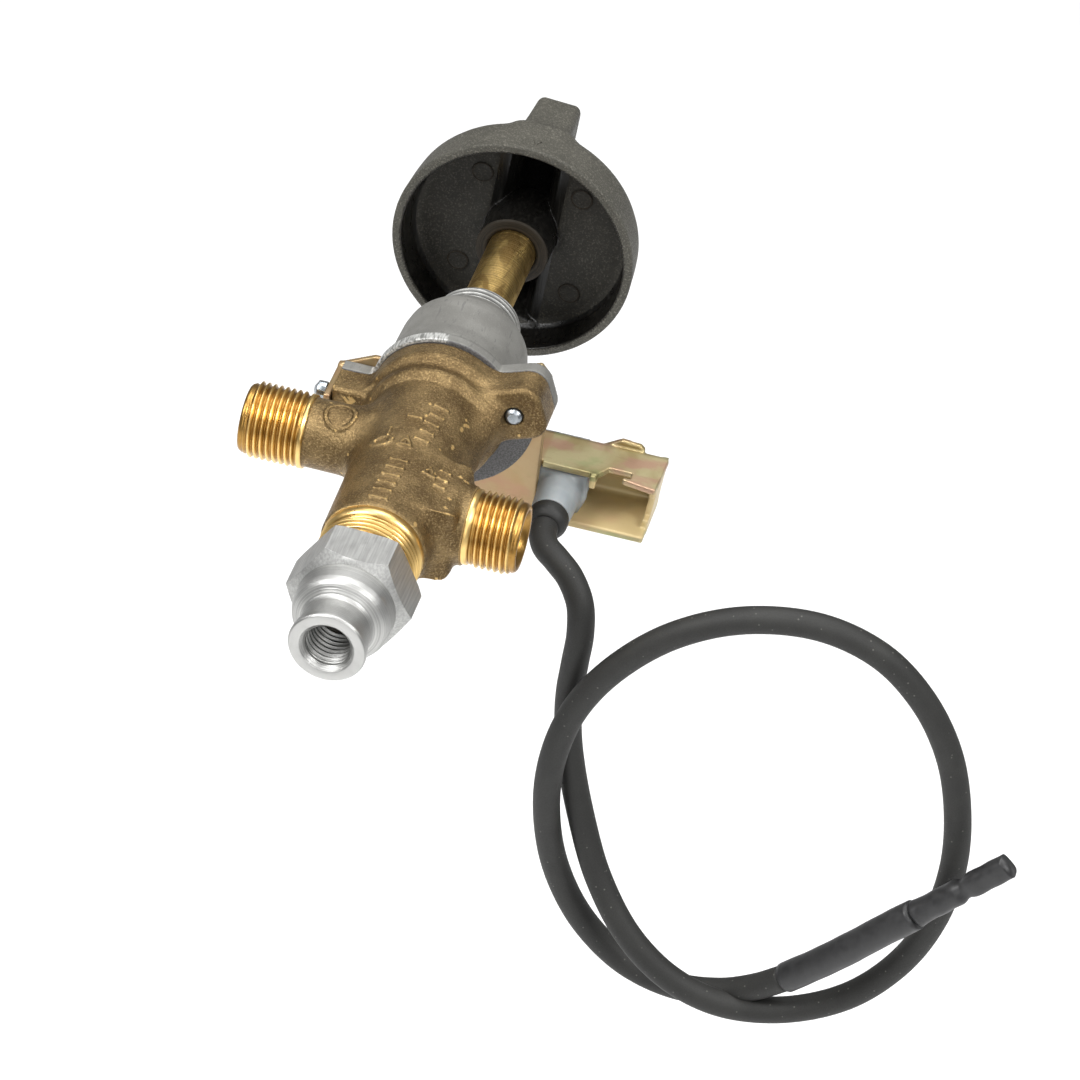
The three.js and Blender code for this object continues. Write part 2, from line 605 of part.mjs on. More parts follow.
function knob() {
  const grip = plateZ(gripSection(), -25, 25, 6)
    .intersect(plateX(gripSide(), -6, 6, 0, 6))
    .intersect(rod(19.4, KNOB_RIM_Y, GRIP_TOP_Y + 1, 56));
  const skirtHollow = turned([
    [0, KNOB_RIM_Y - 1], [KNOB_R - 1.5, KNOB_RIM_Y - 1], [KNOB_R - 2, 31.2],
    [KNOB_R - 3.2, KNOB_FLOOR_Y], [0, KNOB_FLOOR_Y],
  ], 48);
  const hub = rod(HUB_R, KNOB_RIM_Y, KNOB_TOP_Y, 32)
    .add(block([-2.8, KNOB_TOP_Y - 1, -5.4], [2.8, GRIP_TOP_Y - 1, 5.4]));
  const socketR = STEM_R + 0.05;
  const stemSocket = rod(socketR, KNOB_RIM_Y - 1, STEM_TOP_Y + 0.1, 32)
    .subtract(block([-6, KNOB_RIM_Y + 0.9, -7], [6, STEM_TOP_Y + 1, -2.65]));
  const clipPocket = block([-1.9, KNOB_RIM_Y + 0.7, -4.4], [1.9, STEM_TOP_Y, -2.6]);
  const pointer = plateX(polygon([[28.6, 18], [28.6, 20.3], [27, 20.35], [27, 18]]), -0.8, 0.8);
  const shape = knobShell().add(grip).subtract(skirtHollow).subtract(gripHollow()).add(hub)
    .add(pointer).subtract(stemSocket).subtract(clipPocket);
  return knobSet(shape);
}

function knobClip() {
  const plate = block([-1.7, KNOB_RIM_Y + 1, -3.1], [1.7, STEM_TOP_Y - 1, -2.7]);
  const bow = block([-1.7, KNOB_RIM_Y + 4, -3.9], [1.7, STEM_TOP_Y - 4, -3]);
  return knobSet(plate.add(bow));
}

// ---- bracket, in one piece of bent sheet ----

function bracketPlate() {
  const outline = polygon([
    [LUG_FACE_X - 1.1, -10], [-14, CHANNEL_FLOOR_Z - SHEET], [BRACKET_RIGHT_X, CHANNEL_FLOOR_Z - SHEET],
    [BRACKET_RIGHT_X, 7.4], [14.6, 9.4], [9, 7.4], [9, 3], [-9, 3], [-9, 3.6], [-12, 3.6],
    [LUG_FACE_X - 1.1, 0.8],
  ]);
  let plate = plateY(outline, BRACKET_PLATE_Y, BRACKET_PLATE_Y + SHEET)
    .subtract(rod(11.35, -30, -10, 40));
  for (const [x, z] of screwPlaces) {
    plate = plate.subtract(rod(SCREW_R + 0.15, -18, -14, 16).translate([x, 0, z]));
  }
  return plate;
}

function bracketRoof() {
  const outline = polygon([
    [BRACKET_RIGHT_X + 0.3, CHANNEL_BACK_Y], [BRACKET_RIGHT_X + 0.3, -16.2], [25.6, -16.2],
    [27.1, -13.8], [30.7, -13.8], [30.7, -15.4], [29.6, -15.4], [29.6, -16], [35.2, -17],
    [35.4, -8], [34.6, CHANNEL_BACK_Y],
  ]);
  return plateZ(outline, CHANNEL_ROOF_Z, CHANNEL_ROOF_Z + SHEET);
}

function bracket() {
  const floorZ = CHANNEL_FLOOR_Z - SHEET;
  const floorOutline = polygon([
    [-8, BRACKET_PLATE_Y + SHEET], [-8, BRACKET_PLATE_Y], [BRACKET_RIGHT_X, BRACKET_PLATE_Y],
    [BRACKET_RIGHT_X, CHANNEL_MOUTH_Y], [33.6, CHANNEL_MOUTH_Y], [33.6, -16.4], [CHANNEL_END_X, -15.6],
    [CHANNEL_END_X, CHANNEL_BACK_Y], [15, CHANNEL_BACK_Y], [12, BRACKET_PLATE_Y + SHEET],
  ]);
  const floor = plateZ(floorOutline, floorZ, CHANNEL_FLOOR_Z);
  const back = block([15, CHANNEL_BACK_Y - SHEET, floorZ], [CHANNEL_END_X, CHANNEL_BACK_Y, CHANNEL_ROOF_Z])
    .add(block([BRACKET_RIGHT_X + 0.3, CHANNEL_BACK_Y - SHEET, CHANNEL_ROOF_Z - 1],
      [CHANNEL_END_X, CHANNEL_BACK_Y, CHANNEL_ROOF_Z + SHEET]));
  const backWindow = rod(2, -12, -4, 20).translate([IGNITER_X, 0, IGNITER_Z]);
  const endWall = plateY(polygon([[33.3, floorZ], [CHANNEL_END_X, floorZ], [35.4, CHANNEL_ROOF_Z + SHEET],
    [34.4, CHANNEL_ROOF_Z + SHEET]]), -15.2, CHANNEL_BACK_Y)
    .subtract(block([30, -16, -16.4], [38, -13.6, -12]));
  const rearTab = plateY(polygon([[24.6, -10], [26.6, -6.6], [30.6, -6.6], [31.4, -7.4], [31.4, -10]]),
    CHANNEL_BACK_Y - SHEET, CHANNEL_BACK_Y);
  const frontTab = block([24.6, -17.1, -11.4], [25.6, -16.1, CHANNEL_ROOF_Z + SHEET]);
  const leftTab = plateX(roundedRect(-25.5, -7.5, BRACKET_PLATE_Y + SHEET, 0.8, 0.8),
    LUG_FACE_X - 1.1, LUG_FACE_X - 0.1);
  return bracketPlate().add(floor).add(back).add(endWall).add(bracketRoof()).add(rearTab)
    .add(frontTab).add(leftTab).subtract(backWindow)
    .subtract(rodX(PIN_R + 0.05, -20, -15, PIN_Y, PIN_Z, 12));
}

function bracketPin() {
  const profile = [[0, -19.7], [0.5, -19.7], [1.5, -19.1], [1.5, LUG_FACE_X - 1.2],
    [PIN_R, LUG_FACE_X - 1.15], [PIN_R, -12.2], [0, -12.2]];
  return turnedX(profile, PIN_Y, PIN_Z, 12);
}

// ---- piezo igniter ----
function igniterHousing() {
  const half = 4.1;
  const box = plateY(polygon([
    [IGNITER_X - half, -17.9], [23.1, -17.9], [24.1, -14.6], [24.1, -10.4], [IGNITER_X - half, -10.4],
  ]), IGNITER_FACE_Y, CHANNEL_BACK_Y - SHEET - 0.3);
  const nose = turned([
    [0, IGNITER_NOSE_Y], [3.2, IGNITER_NOSE_Y], [3.3, -19], [3.3, IGNITER_FACE_Y + 0.2],
    [0, IGNITER_FACE_Y + 0.2],
  ], 32).translate([IGNITER_X, 0, IGNITER_Z]);
  const bore = turned([[0, -21.6], [2.1, -21.6], [2.1, -9], [1.7, -9], [1.7, 0], [0, 0]], 20)
    .translate([IGNITER_X, 0, IGNITER_Z]);
  return box.add(nose).subtract(bore);
}

function igniterPlunger() {
  return turned([[0, -11], [1.75, -11], [1.75, -9.4], [1.35, -9.4], [1.35, -3.9], [1, -3.5],
    [0, -3.5]], 20).translate([IGNITER_X, 0, IGNITER_Z]);
}

function piezoElement() {
  return rod(1.8, -21.4, -16.4, 20).translate([IGNITER_X, 0, IGNITER_Z]);
}

function leadBoot() {
  return turned([[0, -25.6], [2.2, -25.6], [2.9, -24.9], [3.2, -23.6], [3.2, -22.7], [0, -22.7]], 28)
    .translate([IGNITER_X, 0, IGNITER_Z]);
}

// ---- ignition lead: hand-placed points of its centre line ----
const LEAD_POINTS = [
  [20, -26, -14.2], [20.2, -28, -14.2], [21.4, -30.8, -14.2], [23.8, -33.2, -14.4], [26.6, -35.5, -15.4],
  [29, -37.6, -18.2], [29.9, -38.6, -23], [29.7, -38.4, -29], [29.4, -37.7, -35.5],
  [29.7, -37, -42], [30.9, -37, -49], [34, -38, -59], [38.6, -40, -69.2],
  [45.2, -42.4, -77.6], [53.1, -43, -83.8], [61.8, -42, -87.2], [71.6, -40, -87],
  [81, -38.4, -82.5], [88, -37.3, -74.4], [92.3, -37, -63.8], [93.7, -37, -52.5],
  [92.7, -37.5, -40.9], [89.7, -38.1, -29.8], [84.2, -39, -20], [76.7, -40, -12.8],
  [67, -41, -9.4], [55.6, -42, -10.6], [45.3, -42.6, -16], [37.1, -43, -24.4],
  [31.6, -43, -34.2], [29, -42.5, -45.2], [28.9, -41, -57.2], [31.5, -39, -70.2],
  [37, -37.5, -81], [44.6, -37, -87.8], [52.8, -37.6, -89.6], [60.4, -39, -87.4],
  [66.4, -40.3, -83.5], [71, -41.2, -79.4],
];
const SLEEVE_POINTS = [
  [71.25, -41.3, -79.1], [76.2, -42.3, -73.6], [80.6, -43, -68.5], [85.4, -43.5, -62.8], [89.7, -43.7, -58.1],
];
const TERMINAL_POINTS = [[89.95, -43.7, -57.8], [95.9, -43.7, -51.3], [102.5, -43.7, -44.1]];

function smoothTube(points, radius, steps, sides) {
  const path = new THREE.CatmullRomCurve3(points.map((p) => new THREE.Vector3(...p)), false, 'centripetal');
  const section = new THREE.Shape();
  section.absarc(0, 0, radius, 0, Math.PI * 2);
  return manifold(new THREE.ExtrudeGeometry(section, {
    steps, curveSegments: sides / 2, bevelEnabled: false, extrudePath: path,
  }));
}

addPart('valve_body', valveBody(), materials.forgedBrass());
addPart('bonnet', bonnet(), materials.castAluminium());
addPart('bonnet_gasket', ring([[8.95, -20.1], [9.95, -20.1], [9.95, -19.25], [8.95, -19.25]], 28),
  materials.gasket());
addPart('bonnet_screw_right', bonnetScrew(screwPlaces[0]), materials.zincSteel());
addPart('bonnet_screw_left', bonnetScrew(screwPlaces[1]), materials.zincSteel());
addPart('stem', stem(), materials.turnedBrass());
addPart('stem_o_ring', ring([[4.35, 1.5], [5.3, 1.5], [5.3, 2.3], [4.35, 2.3]], 24),
  materials.blackRubber());
addPart('stem_circlip', stemCirclip(), materials.springSteel());
addPart('push_arm', pushArm(), materials.zincSteel());
addPart('return_spring', coilSpring(6.2, 0.45, -19.1, -3.2, 6), materials.springSteel());
addPart('spring_washer', ring([[3.5, -19.9], [8.1, -19.9], [8.1, -19.4], [3.5, -19.4]], 28),
  materials.zincSteel());
addPart('taper_plug', taperPlug(), materials.turnedBrass());
addPart('push_rod', pushRod(), materials.zincSteel());
addPart('safety_seal', safetySeal(), materials.blackRubber());
addPart('safety_disc', safetyDisc(), materials.turnedBrass());
addPart('safety_spring', coilSpring(2.6, 0.25, -53.9, -47.1, 5), materials.springSteel());
addPart('armature', armature(), materials.zincSteel());
addPart('magnet_housing', magnetHousing(), materials.turnedBrass());
addPart('magnet_core', magnetCore(), materials.zincSteel());
addPart('magnet_coil', magnetCoil(), materials.copper());
addPart('thermo_contact', thermoContact(), materials.turnedBrass());
addPart('adapter_nut', adapterNut(), materials.turnedAluminium());
addPart('nut_washer', nutWasher(), materials.copper());
addPart('knob', knob(), materials.knobPlastic());
addPart('knob_clip', knobClip(), materials.springSteel());
addPart('bracket', bracket(), sheetSteel());
addPart('bracket_pin', bracketPin(), materials.zincSteel());
addPart('igniter_housing', igniterHousing(), materials.greyPlastic());
addPart('igniter_plunger', igniterPlunger(), materials.zincSteel());
addPart('hammer_spring', coilSpring(1.6, 0.22, -16.2, -11.1, 4, IGNITER_X, IGNITER_Z),
  materials.springSteel());
addPart('piezo_element', piezoElement(), materials.ceramic());
addPart('lead_boot', leadBoot(), materials.blackRubber());
addPart('ignition_lead', smoothTube(LEAD_POINTS, LEAD_R, 80, 8), materials.leadRubber());
addPart('heat_shrink_sleeve', smoothTube(SLEEVE_POINTS, SLEEVE_R, 8, 12), materials.sleeve());
addPart('terminal', smoothTube(TERMINAL_POINTS, TERMINAL_R, 4, 12), materials.sleeve());

export default group;
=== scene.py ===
# Gas valve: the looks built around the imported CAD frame. Blender 4.5, metres, +Z up.
# Shapes are worked out in millimetres and scaled once, when a mesh is made.
import json
import math

import bpy
import numpy as np
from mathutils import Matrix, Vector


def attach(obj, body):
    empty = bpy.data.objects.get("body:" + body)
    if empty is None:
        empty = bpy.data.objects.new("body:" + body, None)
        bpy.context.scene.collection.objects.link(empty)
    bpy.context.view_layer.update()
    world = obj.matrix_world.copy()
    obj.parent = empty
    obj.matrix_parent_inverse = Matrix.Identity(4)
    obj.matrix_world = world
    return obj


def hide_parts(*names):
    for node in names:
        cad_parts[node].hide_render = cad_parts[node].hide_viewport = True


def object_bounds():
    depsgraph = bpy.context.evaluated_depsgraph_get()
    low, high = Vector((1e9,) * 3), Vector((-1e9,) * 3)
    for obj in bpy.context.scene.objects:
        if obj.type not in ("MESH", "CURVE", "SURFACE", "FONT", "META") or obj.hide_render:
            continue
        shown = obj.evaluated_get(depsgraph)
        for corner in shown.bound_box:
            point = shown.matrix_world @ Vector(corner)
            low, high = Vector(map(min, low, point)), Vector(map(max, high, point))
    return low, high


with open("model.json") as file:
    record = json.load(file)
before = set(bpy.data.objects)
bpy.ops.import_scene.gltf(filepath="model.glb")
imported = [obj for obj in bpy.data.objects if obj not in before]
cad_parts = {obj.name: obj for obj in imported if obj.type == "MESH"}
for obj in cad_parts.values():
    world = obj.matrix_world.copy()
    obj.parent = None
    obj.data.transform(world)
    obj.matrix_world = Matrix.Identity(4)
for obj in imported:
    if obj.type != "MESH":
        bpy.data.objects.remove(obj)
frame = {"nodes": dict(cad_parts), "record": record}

import openvdb
from mathutils import Matrix, Vector

MM = 0.001
cad_low, cad_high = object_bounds()

# ---- shared dimensions, in millimetres ----
PITCH = 1.0
ROWS_PER_TURN = 10
PANEL_THREAD_R = 7.0
FLANGE_TOP_Y = -16.7
BODY_TOP_Y = -19.3
BARREL_END_Y = -60.4
BODY_END_Y = -66.9
NECK_R = 8.0
PORT_R = 6.0
PORT_ROOT_R = 5.4
PORT_BORE_R = 3.6
OUTLET_Y = -34.8
OUTLET_THREAD_X = -17.6
OUTLET_END_X = -27.3
INLET_Y = -49.0
INLET_THREAD_X = 12.4
INLET_END_X = 20.8
EAR_ANGLE = 20.0
EAR_MIDDLE_R = 12.15
EAR_HALF_LENGTH = 6.15
EAR_HALF_WIDTH = 4.6
EAR_CORNER_R = 3.0
SCREW_CIRCLE_R = 13.5
LUG_FACE_X = -16.5
STEM_R = 4.0
STEM_TOP_Y = 35.2
HEX_ANGLE = -3.0
HEX_ACROSS_FLATS = 17.0
NUT_BACK_Y = -67.6
NUT_FRONT_Y = -74.1
NOSE_END_Y = -86.3
KNOB_RIM_Y = 25.8
KNOB_FLOOR_Y = 32.4
KNOB_TOP_Y = 36.4
GRIP_TOP_Y = 48.4
KNOB_SET_ANGLE = 4
KNOB_R = 20.2
IGNITER_AXIS = (20.0, -14.2)
LEAD_R = 2.2
SHARP_ANGLE = 28

# ---- camera and the lead's route come first ----
CAMERA_PLACE = (0.13644, -0.74199, 0.52127)
CAMERA_RIGHT = (0.96489, 0.23914, 0.10863)
CAMERA_UP = (-0.22857, 0.56072, 0.79583)
CAMERA_BACK = (0.12940, -0.79272, 0.59569)
CAMERA_LENS = 191.9
SENSOR = 36.0


def placed(name, data):
    """A new object in the scene."""
    obj = bpy.data.objects.new(name, data)
    bpy.context.scene.collection.objects.link(obj)
    return obj


def make_camera():
    data = bpy.data.cameras.new("camera")
    data.lens = CAMERA_LENS
    data.sensor_width = SENSOR
    data.clip_start = 0.01
    data.clip_end = 20
    camera = placed("camera", data)
    turn = Matrix((CAMERA_RIGHT, CAMERA_UP, CAMERA_BACK)).transposed().to_4x4()
    camera.matrix_world = Matrix.Translation(CAMERA_PLACE) @ turn
    bpy.context.scene.camera = camera


make_camera()

LEAD_POINTS = [
    (20, -26, -14.2), (20.2, -28, -14.2), (21.4, -30.8, -14.2), (23.8, -33.2, -14.4), (26.6, -35.5, -15.4),
    (29, -37.6, -18.2), (29.9, -38.6, -23), (29.7, -38.4, -29), (29.4, -37.7, -35.5),
    (29.7, -37, -42), (30.9, -37, -49), (34, -38, -59), (38.6, -40, -69.2),
    (45.2, -42.4, -77.6), (53.1, -43, -83.8), (61.8, -42, -87.2), (71.6, -40, -87),
    (81, -38.4, -82.5), (88, -37.3, -74.4), (92.3, -37, -63.8), (93.7, -37, -52.5),
    (92.7, -37.5, -40.9), (89.7, -38.1, -29.8), (84.2, -39, -20), (76.7, -40, -12.8),
    (67, -41, -9.4), (55.6, -42, -10.6), (45.3, -42.6, -16), (37.1, -43, -24.4),
    (31.6, -43, -34.2), (29, -42.5, -45.2), (28.9, -41, -57.2), (31.5, -39, -70.2),
    (37, -37.5, -81), (44.6, -37, -87.8), (52.8, -37.6, -89.6), (60.4, -39, -87.4),
    (66.4, -40.3, -83.5), (71, -41.2, -79.4),
]
SLEEVE_POINTS = [
    (71.25, -41.3, -79.1), (76.2, -42.3, -73.6), (80.6, -43, -68.5), (85.4, -43.5, -62.8),
    (89.7, -43.7, -58.1),
]
TERMINAL_POINTS = [(89.95, -43.7, -57.8), (95.9, -43.7, -51.3), (102.5, -43.7, -44.1)]


# ---- meshes ----
def mesh_object(name, vertices, faces, smooth=True):
    """A mesh object from points in millimetres."""
    mesh = bpy.data.meshes.new(name)
    mesh.from_pydata([tuple(MM * c for c in v) for v in vertices], [], faces)
    return finish_mesh(name, mesh, smooth)


def finish_mesh(name, mesh, smooth):
    mesh.validate()
    mesh.update()
    mesh.polygons.foreach_set("use_smooth", [smooth] * len(mesh.polygons))
    return outward(placed(name, mesh))


def outward(obj):
    """Turns the faces to look outwards, by the sign of the enclosed volume."""
    obj.data.calc_loop_triangles()
    points = np.array([v.co for v in obj.data.vertices])
    triangles = np.array([t.vertices for t in obj.data.loop_triangles])
    a, b, c = points[triangles[:, 0]], points[triangles[:, 1]], points[triangles[:, 2]]
    if np.einsum("ij,ij->i", a, np.cross(b, c)).sum() < 0:
        obj.data.flip_normals()
    return obj


def baked(obj):
    """The object with its modifiers applied."""
    depsgraph = bpy.context.evaluated_depsgraph_get()
    mesh = bpy.data.meshes.new_from_object(obj.evaluated_get(depsgraph))
    obj.modifiers.clear()
    obj.data = mesh
    return obj


def soft_edges(obj, width):
    """Rounds the sharp edges by a width in millimetres and keeps the flats flat."""
    bevel = obj.modifiers.new("bevel", "BEVEL")
    bevel.width = width * MM
    bevel.segments = 2
    bevel.limit_method = "ANGLE"
    bevel.angle_limit = math.radians(SHARP_ANGLE)
    obj = baked(obj)
    obj.data.shade_smooth()
    weighted = obj.modifiers.new("normals", "WEIGHTED_NORMAL")
    weighted.keep_sharp = True
    return baked(obj)


def intersected(obj, other):
    modifier = obj.modifiers.new("boolean", "BOOLEAN")
    modifier.operation = "INTERSECT"
    modifier.object = other
    modifier.solver = "EXACT"
    obj = baked(obj)
    bpy.data.objects.remove(other)
    return obj


def thread_wave(phase):
    """A 60-degree thread's height from 0 at the root to 1 at the crest."""
    ramp = abs((phase % 1.0) * 2 - 1)
    return min(max(ramp * 1.25 - 0.12, 0.0), 1.0)


def circle(segments):
    angles = [2 * math.pi * i / segments for i in range(segments)]
    return [(math.cos(a), math.sin(a)) for a in angles]


def ring_faces(rows, segments, closed=False, base=0):
    """Faces over rows of ring points, capped at both ends unless they close on themselves."""
    faces = []
    for row in range(rows if closed else rows - 1):
        low, high = base + row * segments, base + (row + 1) % rows * segments
        for i in range(segments):
            j = (i + 1) % segments
            faces.append((low + i, low + j, high + j, high + i))
    if not closed:
        faces.append(tuple(range(base, base + segments))[::-1])
        faces.append(tuple(range(base + (rows - 1) * segments, base + rows * segments)))
    return faces


def revolved(name, profile, axis="Y", centre=(0.0, 0.0), segments=96, closed=False):
    """A turned piece. A profile point is (radius, place) or (radius, place, thread height)."""
    vertices = []
    for radius, place, *rest in profile:
        height = rest[0] if rest else 0.0
        for i, (across, up) in enumerate(circle(segments)):
            r = radius + height * thread_wave(place / PITCH - i / segments)
            a, b = centre[0] + r * across, centre[1] + r * up
            vertices.append((a, place, b) if axis == "Y" else (place, a, b))
    return mesh_object(name, vertices, ring_faces(len(profile), segments, closed))


def rounded_profile(points, radius=0.15, steps=3):
    """The profile with each corner cut into a small arc."""
    corners = [Vector(p) for p in points]
    result = [points[0]]
    for a, p, b in zip(corners, corners[1:], corners[2:]):
        reach = min(radius, (a - p).length * 0.45, (b - p).length * 0.45)
        start, end = p + (a - p).normalized() * reach, p + (b - p).normalized() * reach
        for s in range(steps + 1):
            t = s / steps
            q = start * (1 - t) ** 2 + p * 2 * t * (1 - t) + end * t ** 2
            result.append((q.x, q.y))
    return result + [points[-1]]


def threaded(root, height, start, end, runout=0.8):
    """Profile points of a thread that fades in and out over a short runout."""
    count = int(abs(end - start) * ROWS_PER_TURN / PITCH)
    points = []
    for k in range(count + 1):
        place = start + (end - start) * k / count
        fade = min(abs(place - start), abs(end - place)) / runout
        points.append((root, place, height * min(1.0, fade)))
    return points


# ---- distance fields, for forged, cast and moulded shapes ----
class Field:
    """A block of space in which shapes are described by their distance."""

    def __init__(self, low, high, cell):
        self.low, self.cell = np.array(low, float), cell
        counts = np.ceil((np.array(high) - self.low) / cell).astype(int) + 1
        axes = [self.low[k] + cell * np.arange(counts[k]) for k in range(3)]
        self.x = axes[0].reshape(-1, 1, 1)
        self.y = axes[1].reshape(1, -1, 1)
        self.z = axes[2].reshape(1, 1, -1)

    def turned(self, profile, axis="Y", centre=(0.0, 0.0)):
        """A solid of revolution: profile points (radius, place), closed on the axis."""
        upright = axis == "Y"
        along, across = (self.y, self.x) if upright else (self.x, self.y)
        radius = np.hypot(across - centre[0], self.z - centre[1]).squeeze()
        samples = np.arange(0, radius.max() + self.cell, self.cell / 2)
        table = polygon_distance(mirrored(profile), samples[None, :], along.ravel()[:, None])
        slices = [np.interp(radius, samples, row).astype(np.float32) for row in table]
        return np.stack(slices, axis=1 if upright else 0)

    def cylinder(self, radius, low, high, axis="Y", centre=(0.0, 0.0)):
        return self.turned([(0, low), (radius, low), (radius, high), (0, high)], axis, centre)

    def prism(self, outline, plane, low, high, rounding=0.0):
        """A flat piece with its outline in a plane, from low to high across it."""
        u, v = (getattr(self, letter.lower()) for letter in plane)
        across = {"XZ": self.y, "XY": self.z, "YZ": self.x}[plane]
        return extruded(polygon_distance(outline, u, v), across, low, high, rounding)

    def mesh(self, name, distance):
        limit = 3 * self.cell
        grid = openvdb.FloatGrid(background=limit)
        grid.copyFromArray(np.clip(distance, -limit, limit).astype(np.float32))
        points, quads = grid.convertToQuads(isovalue=0.0)
        points = (points * self.cell + self.low) * MM
        mesh = bpy.data.meshes.new(name)
        mesh.vertices.add(len(points))
        mesh.vertices.foreach_set("co", points.astype(np.float32).ravel())
        mesh.loops.add(quads.size)
        mesh.loops.foreach_set("vertex_index", quads.astype(np.int32).ravel())
        mesh.polygons.add(len(quads))
        mesh.polygons.foreach_set("loop_start", np.arange(0, quads.size, 4, dtype=np.int32))
        mesh.update(calc_edges=True)
        return finish_mesh(name, mesh, True)


def mirrored(points):
    """The points, then the same points on the other side of the middle, coming back."""
    return points + [(-x, y) for x, y in reversed(points)]


def polygon_distance(outline, u, v):
    """Signed distance to a closed polygon, negative inside."""
    nearest, inside = np.inf, False
    for (ax, ay), (bx, by) in zip(outline, outline[1:] + outline[:1]):
        ex, ey = bx - ax, by - ay
        length = ex * ex + ey * ey
        if length < 1e-12:
            continue
        t = np.clip(((u - ax) * ex + (v - ay) * ey) / length, 0, 1)
        nearest = np.minimum(nearest, (u - ax - t * ex) ** 2 + (v - ay - t * ey) ** 2)
        if ay != by:
            inside = inside ^ (((ay > v) != (by > v)) & (u < ax + (v - ay) * ex / ey))
    return np.where(inside, -1, 1) * np.sqrt(nearest)


def corner(a, b):
    """Distance to a square corner, from the distances past its two sides."""
    return np.hypot(np.maximum(a, 0), np.maximum(b, 0)) + np.minimum(np.maximum(a, b), 0)


def extruded(flat, across, low, high, rounding=0.0):
    ends = np.abs(across - (low + high) / 2) - (high - low) / 2
    return corner(flat + rounding, ends + rounding) - rounding


def blend_union(a, b, reach):
    """The union of two shapes with a fillet of about that reach."""
    h = np.maximum(reach - np.abs(a - b), 0) / reach
    return np.minimum(a, b) - h * h * reach / 4


def blend_cut(a, b, reach):
    """Shape a without shape b, its new edge rounded."""
    return -blend_union(-a, b, reach)


def cut(a, b):
    return np.maximum(a, -b)


def swung(x, z, degrees):
    """Coordinates across the valve axis in a frame turned from +X towards +Z."""
    c, s = math.cos(math.radians(degrees)), math.sin(math.radians(degrees))
    return x * c + z * s, z * c - x * s


def rectangle(x0, y0, x1, y1):
    return [(x0, y0), (x1, y0), (x1, y1), (x0, y1)]


# ---- materials ----
class Material:
    """A node material under construction. Texture space is in millimetres."""

    def __init__(self, name, metallic=0.0, specular=0.5):
        self.material = bpy.data.materials.new(name)
        self.material.use_nodes = True
        self.tree = self.material.node_tree
        self.tree.nodes.clear()
        self.colour = None
        looks = {"Metallic": metallic, "Specular IOR Level": specular}
        self.shader = self.node("ShaderNodeBsdfPrincipled", looks)
        self.node("ShaderNodeOutputMaterial", {0: self.shader.outputs[0]})
        metres = {0: self.node("ShaderNodeTexCoord").outputs["Object"], "Scale": 1 / MM}
        self.place = self.node("ShaderNodeVectorMath", metres, operation="SCALE").outputs[0]
        self.x, self.y, self.z = self.node("ShaderNodeSeparateXYZ", {0: self.place}).outputs

    def node(self, kind, inputs=None, **settings):
        made = self.tree.nodes.new(kind)
        for key, value in settings.items():
            setattr(made, key, value)
        for key, value in (inputs or {}).items():
            self.put(made.inputs[key], value)
        return made

    def put(self, socket, value):
        if isinstance(value, bpy.types.NodeSocket):
            self.tree.links.new(value, socket)
        else:
            socket.default_value = value

    def math(self, operation, a, b=0.0):
        return self.node("ShaderNodeMath", {0: a, 1: b}, operation=operation).outputs[0]

    def times(self, a, b):
        return self.math("MULTIPLY", a, b)

    def noise(self, size, detail=3.0, roughness=0.55, stretch=(1, 1, 1), distortion=0.0):
        """Noise whose features are about that many millimetres, longer where stretched."""
        mapping = self.node("ShaderNodeMapping", {"Vector": self.place, "Scale": [1 / s for s in stretch]})
        return self.node("ShaderNodeTexNoise", {
            "Vector": mapping.outputs[0], "Scale": 1 / size, "Detail": detail, "Roughness": roughness,
            "Distortion": distortion,
        }).outputs[0]

    def rings(self, coordinate, size):
        """Turning marks: noise that varies along one axis only."""
        inputs = {"W": coordinate, "Scale": 1 / size, "Detail": 4, "Roughness": 0.7}
        return self.node("ShaderNodeTexNoise", inputs, noise_dimensions="1D").outputs[0]

    def cells(self, size):
        return self.node("ShaderNodeTexVoronoi", {"Vector": self.place, "Scale": 1 / size}).outputs["Distance"]

    def radius(self, a, b, centre_a=0.0, centre_b=0.0):
        a, b = self.math("SUBTRACT", a, centre_a), self.math("SUBTRACT", b, centre_b)
        return self.math("SQRT", self.math("ADD", self.times(a, a), self.times(b, b)))

    def span(self, value, low, high, to_low=0.0, to_high=1.0):
        """Maps low..high to to_low..to_high, and holds the ends."""
        inputs = dict(enumerate((value, low, high, to_low, to_high)))
        return self.node("ShaderNodeMapRange", inputs, interpolation_type="SMOOTHSTEP").outputs[0]

    def mix(self, factor, a, b):
        a, b = (c if isinstance(c, bpy.types.NodeSocket) else (*c, 1) for c in (a, b))
        return self.node("ShaderNodeMix", {0: factor, 6: a, 7: b}, data_type="RGBA").outputs[2]

    def shade(self, value, low, high, dark, light):
        """The colour goes from dark to light as the value goes from low to high."""
        self.colour = self.mix(self.span(value, low, high), dark, light)

    def tint(self, value, low, high, strength, colour):
        """Mixes another colour in, by up to the strength as the value goes from low to high."""
        self.colour = self.mix(self.span(value, low, high, 0, strength), self.colour, colour)

    def pointiness(self, low, high):
        """1 on outer edges, 0 in hollows."""
        return self.span(self.node("ShaderNodeNewGeometry").outputs["Pointiness"], low, high)

    def bump(self, height, distance, over=None):
        made = self.node("ShaderNodeBump", {"Strength": 1, "Distance": distance * MM, "Height": height})
        if over is not None:
            self.put(made.inputs["Normal"], over)
        self.put(self.shader.inputs["Normal"], made.outputs[0])
        return made.outputs[0]

    def finish(self, roughness):
        self.put(self.shader.inputs["Base Color"], self.colour)
        self.put(self.shader.inputs["Roughness"], roughness)
        return self.material


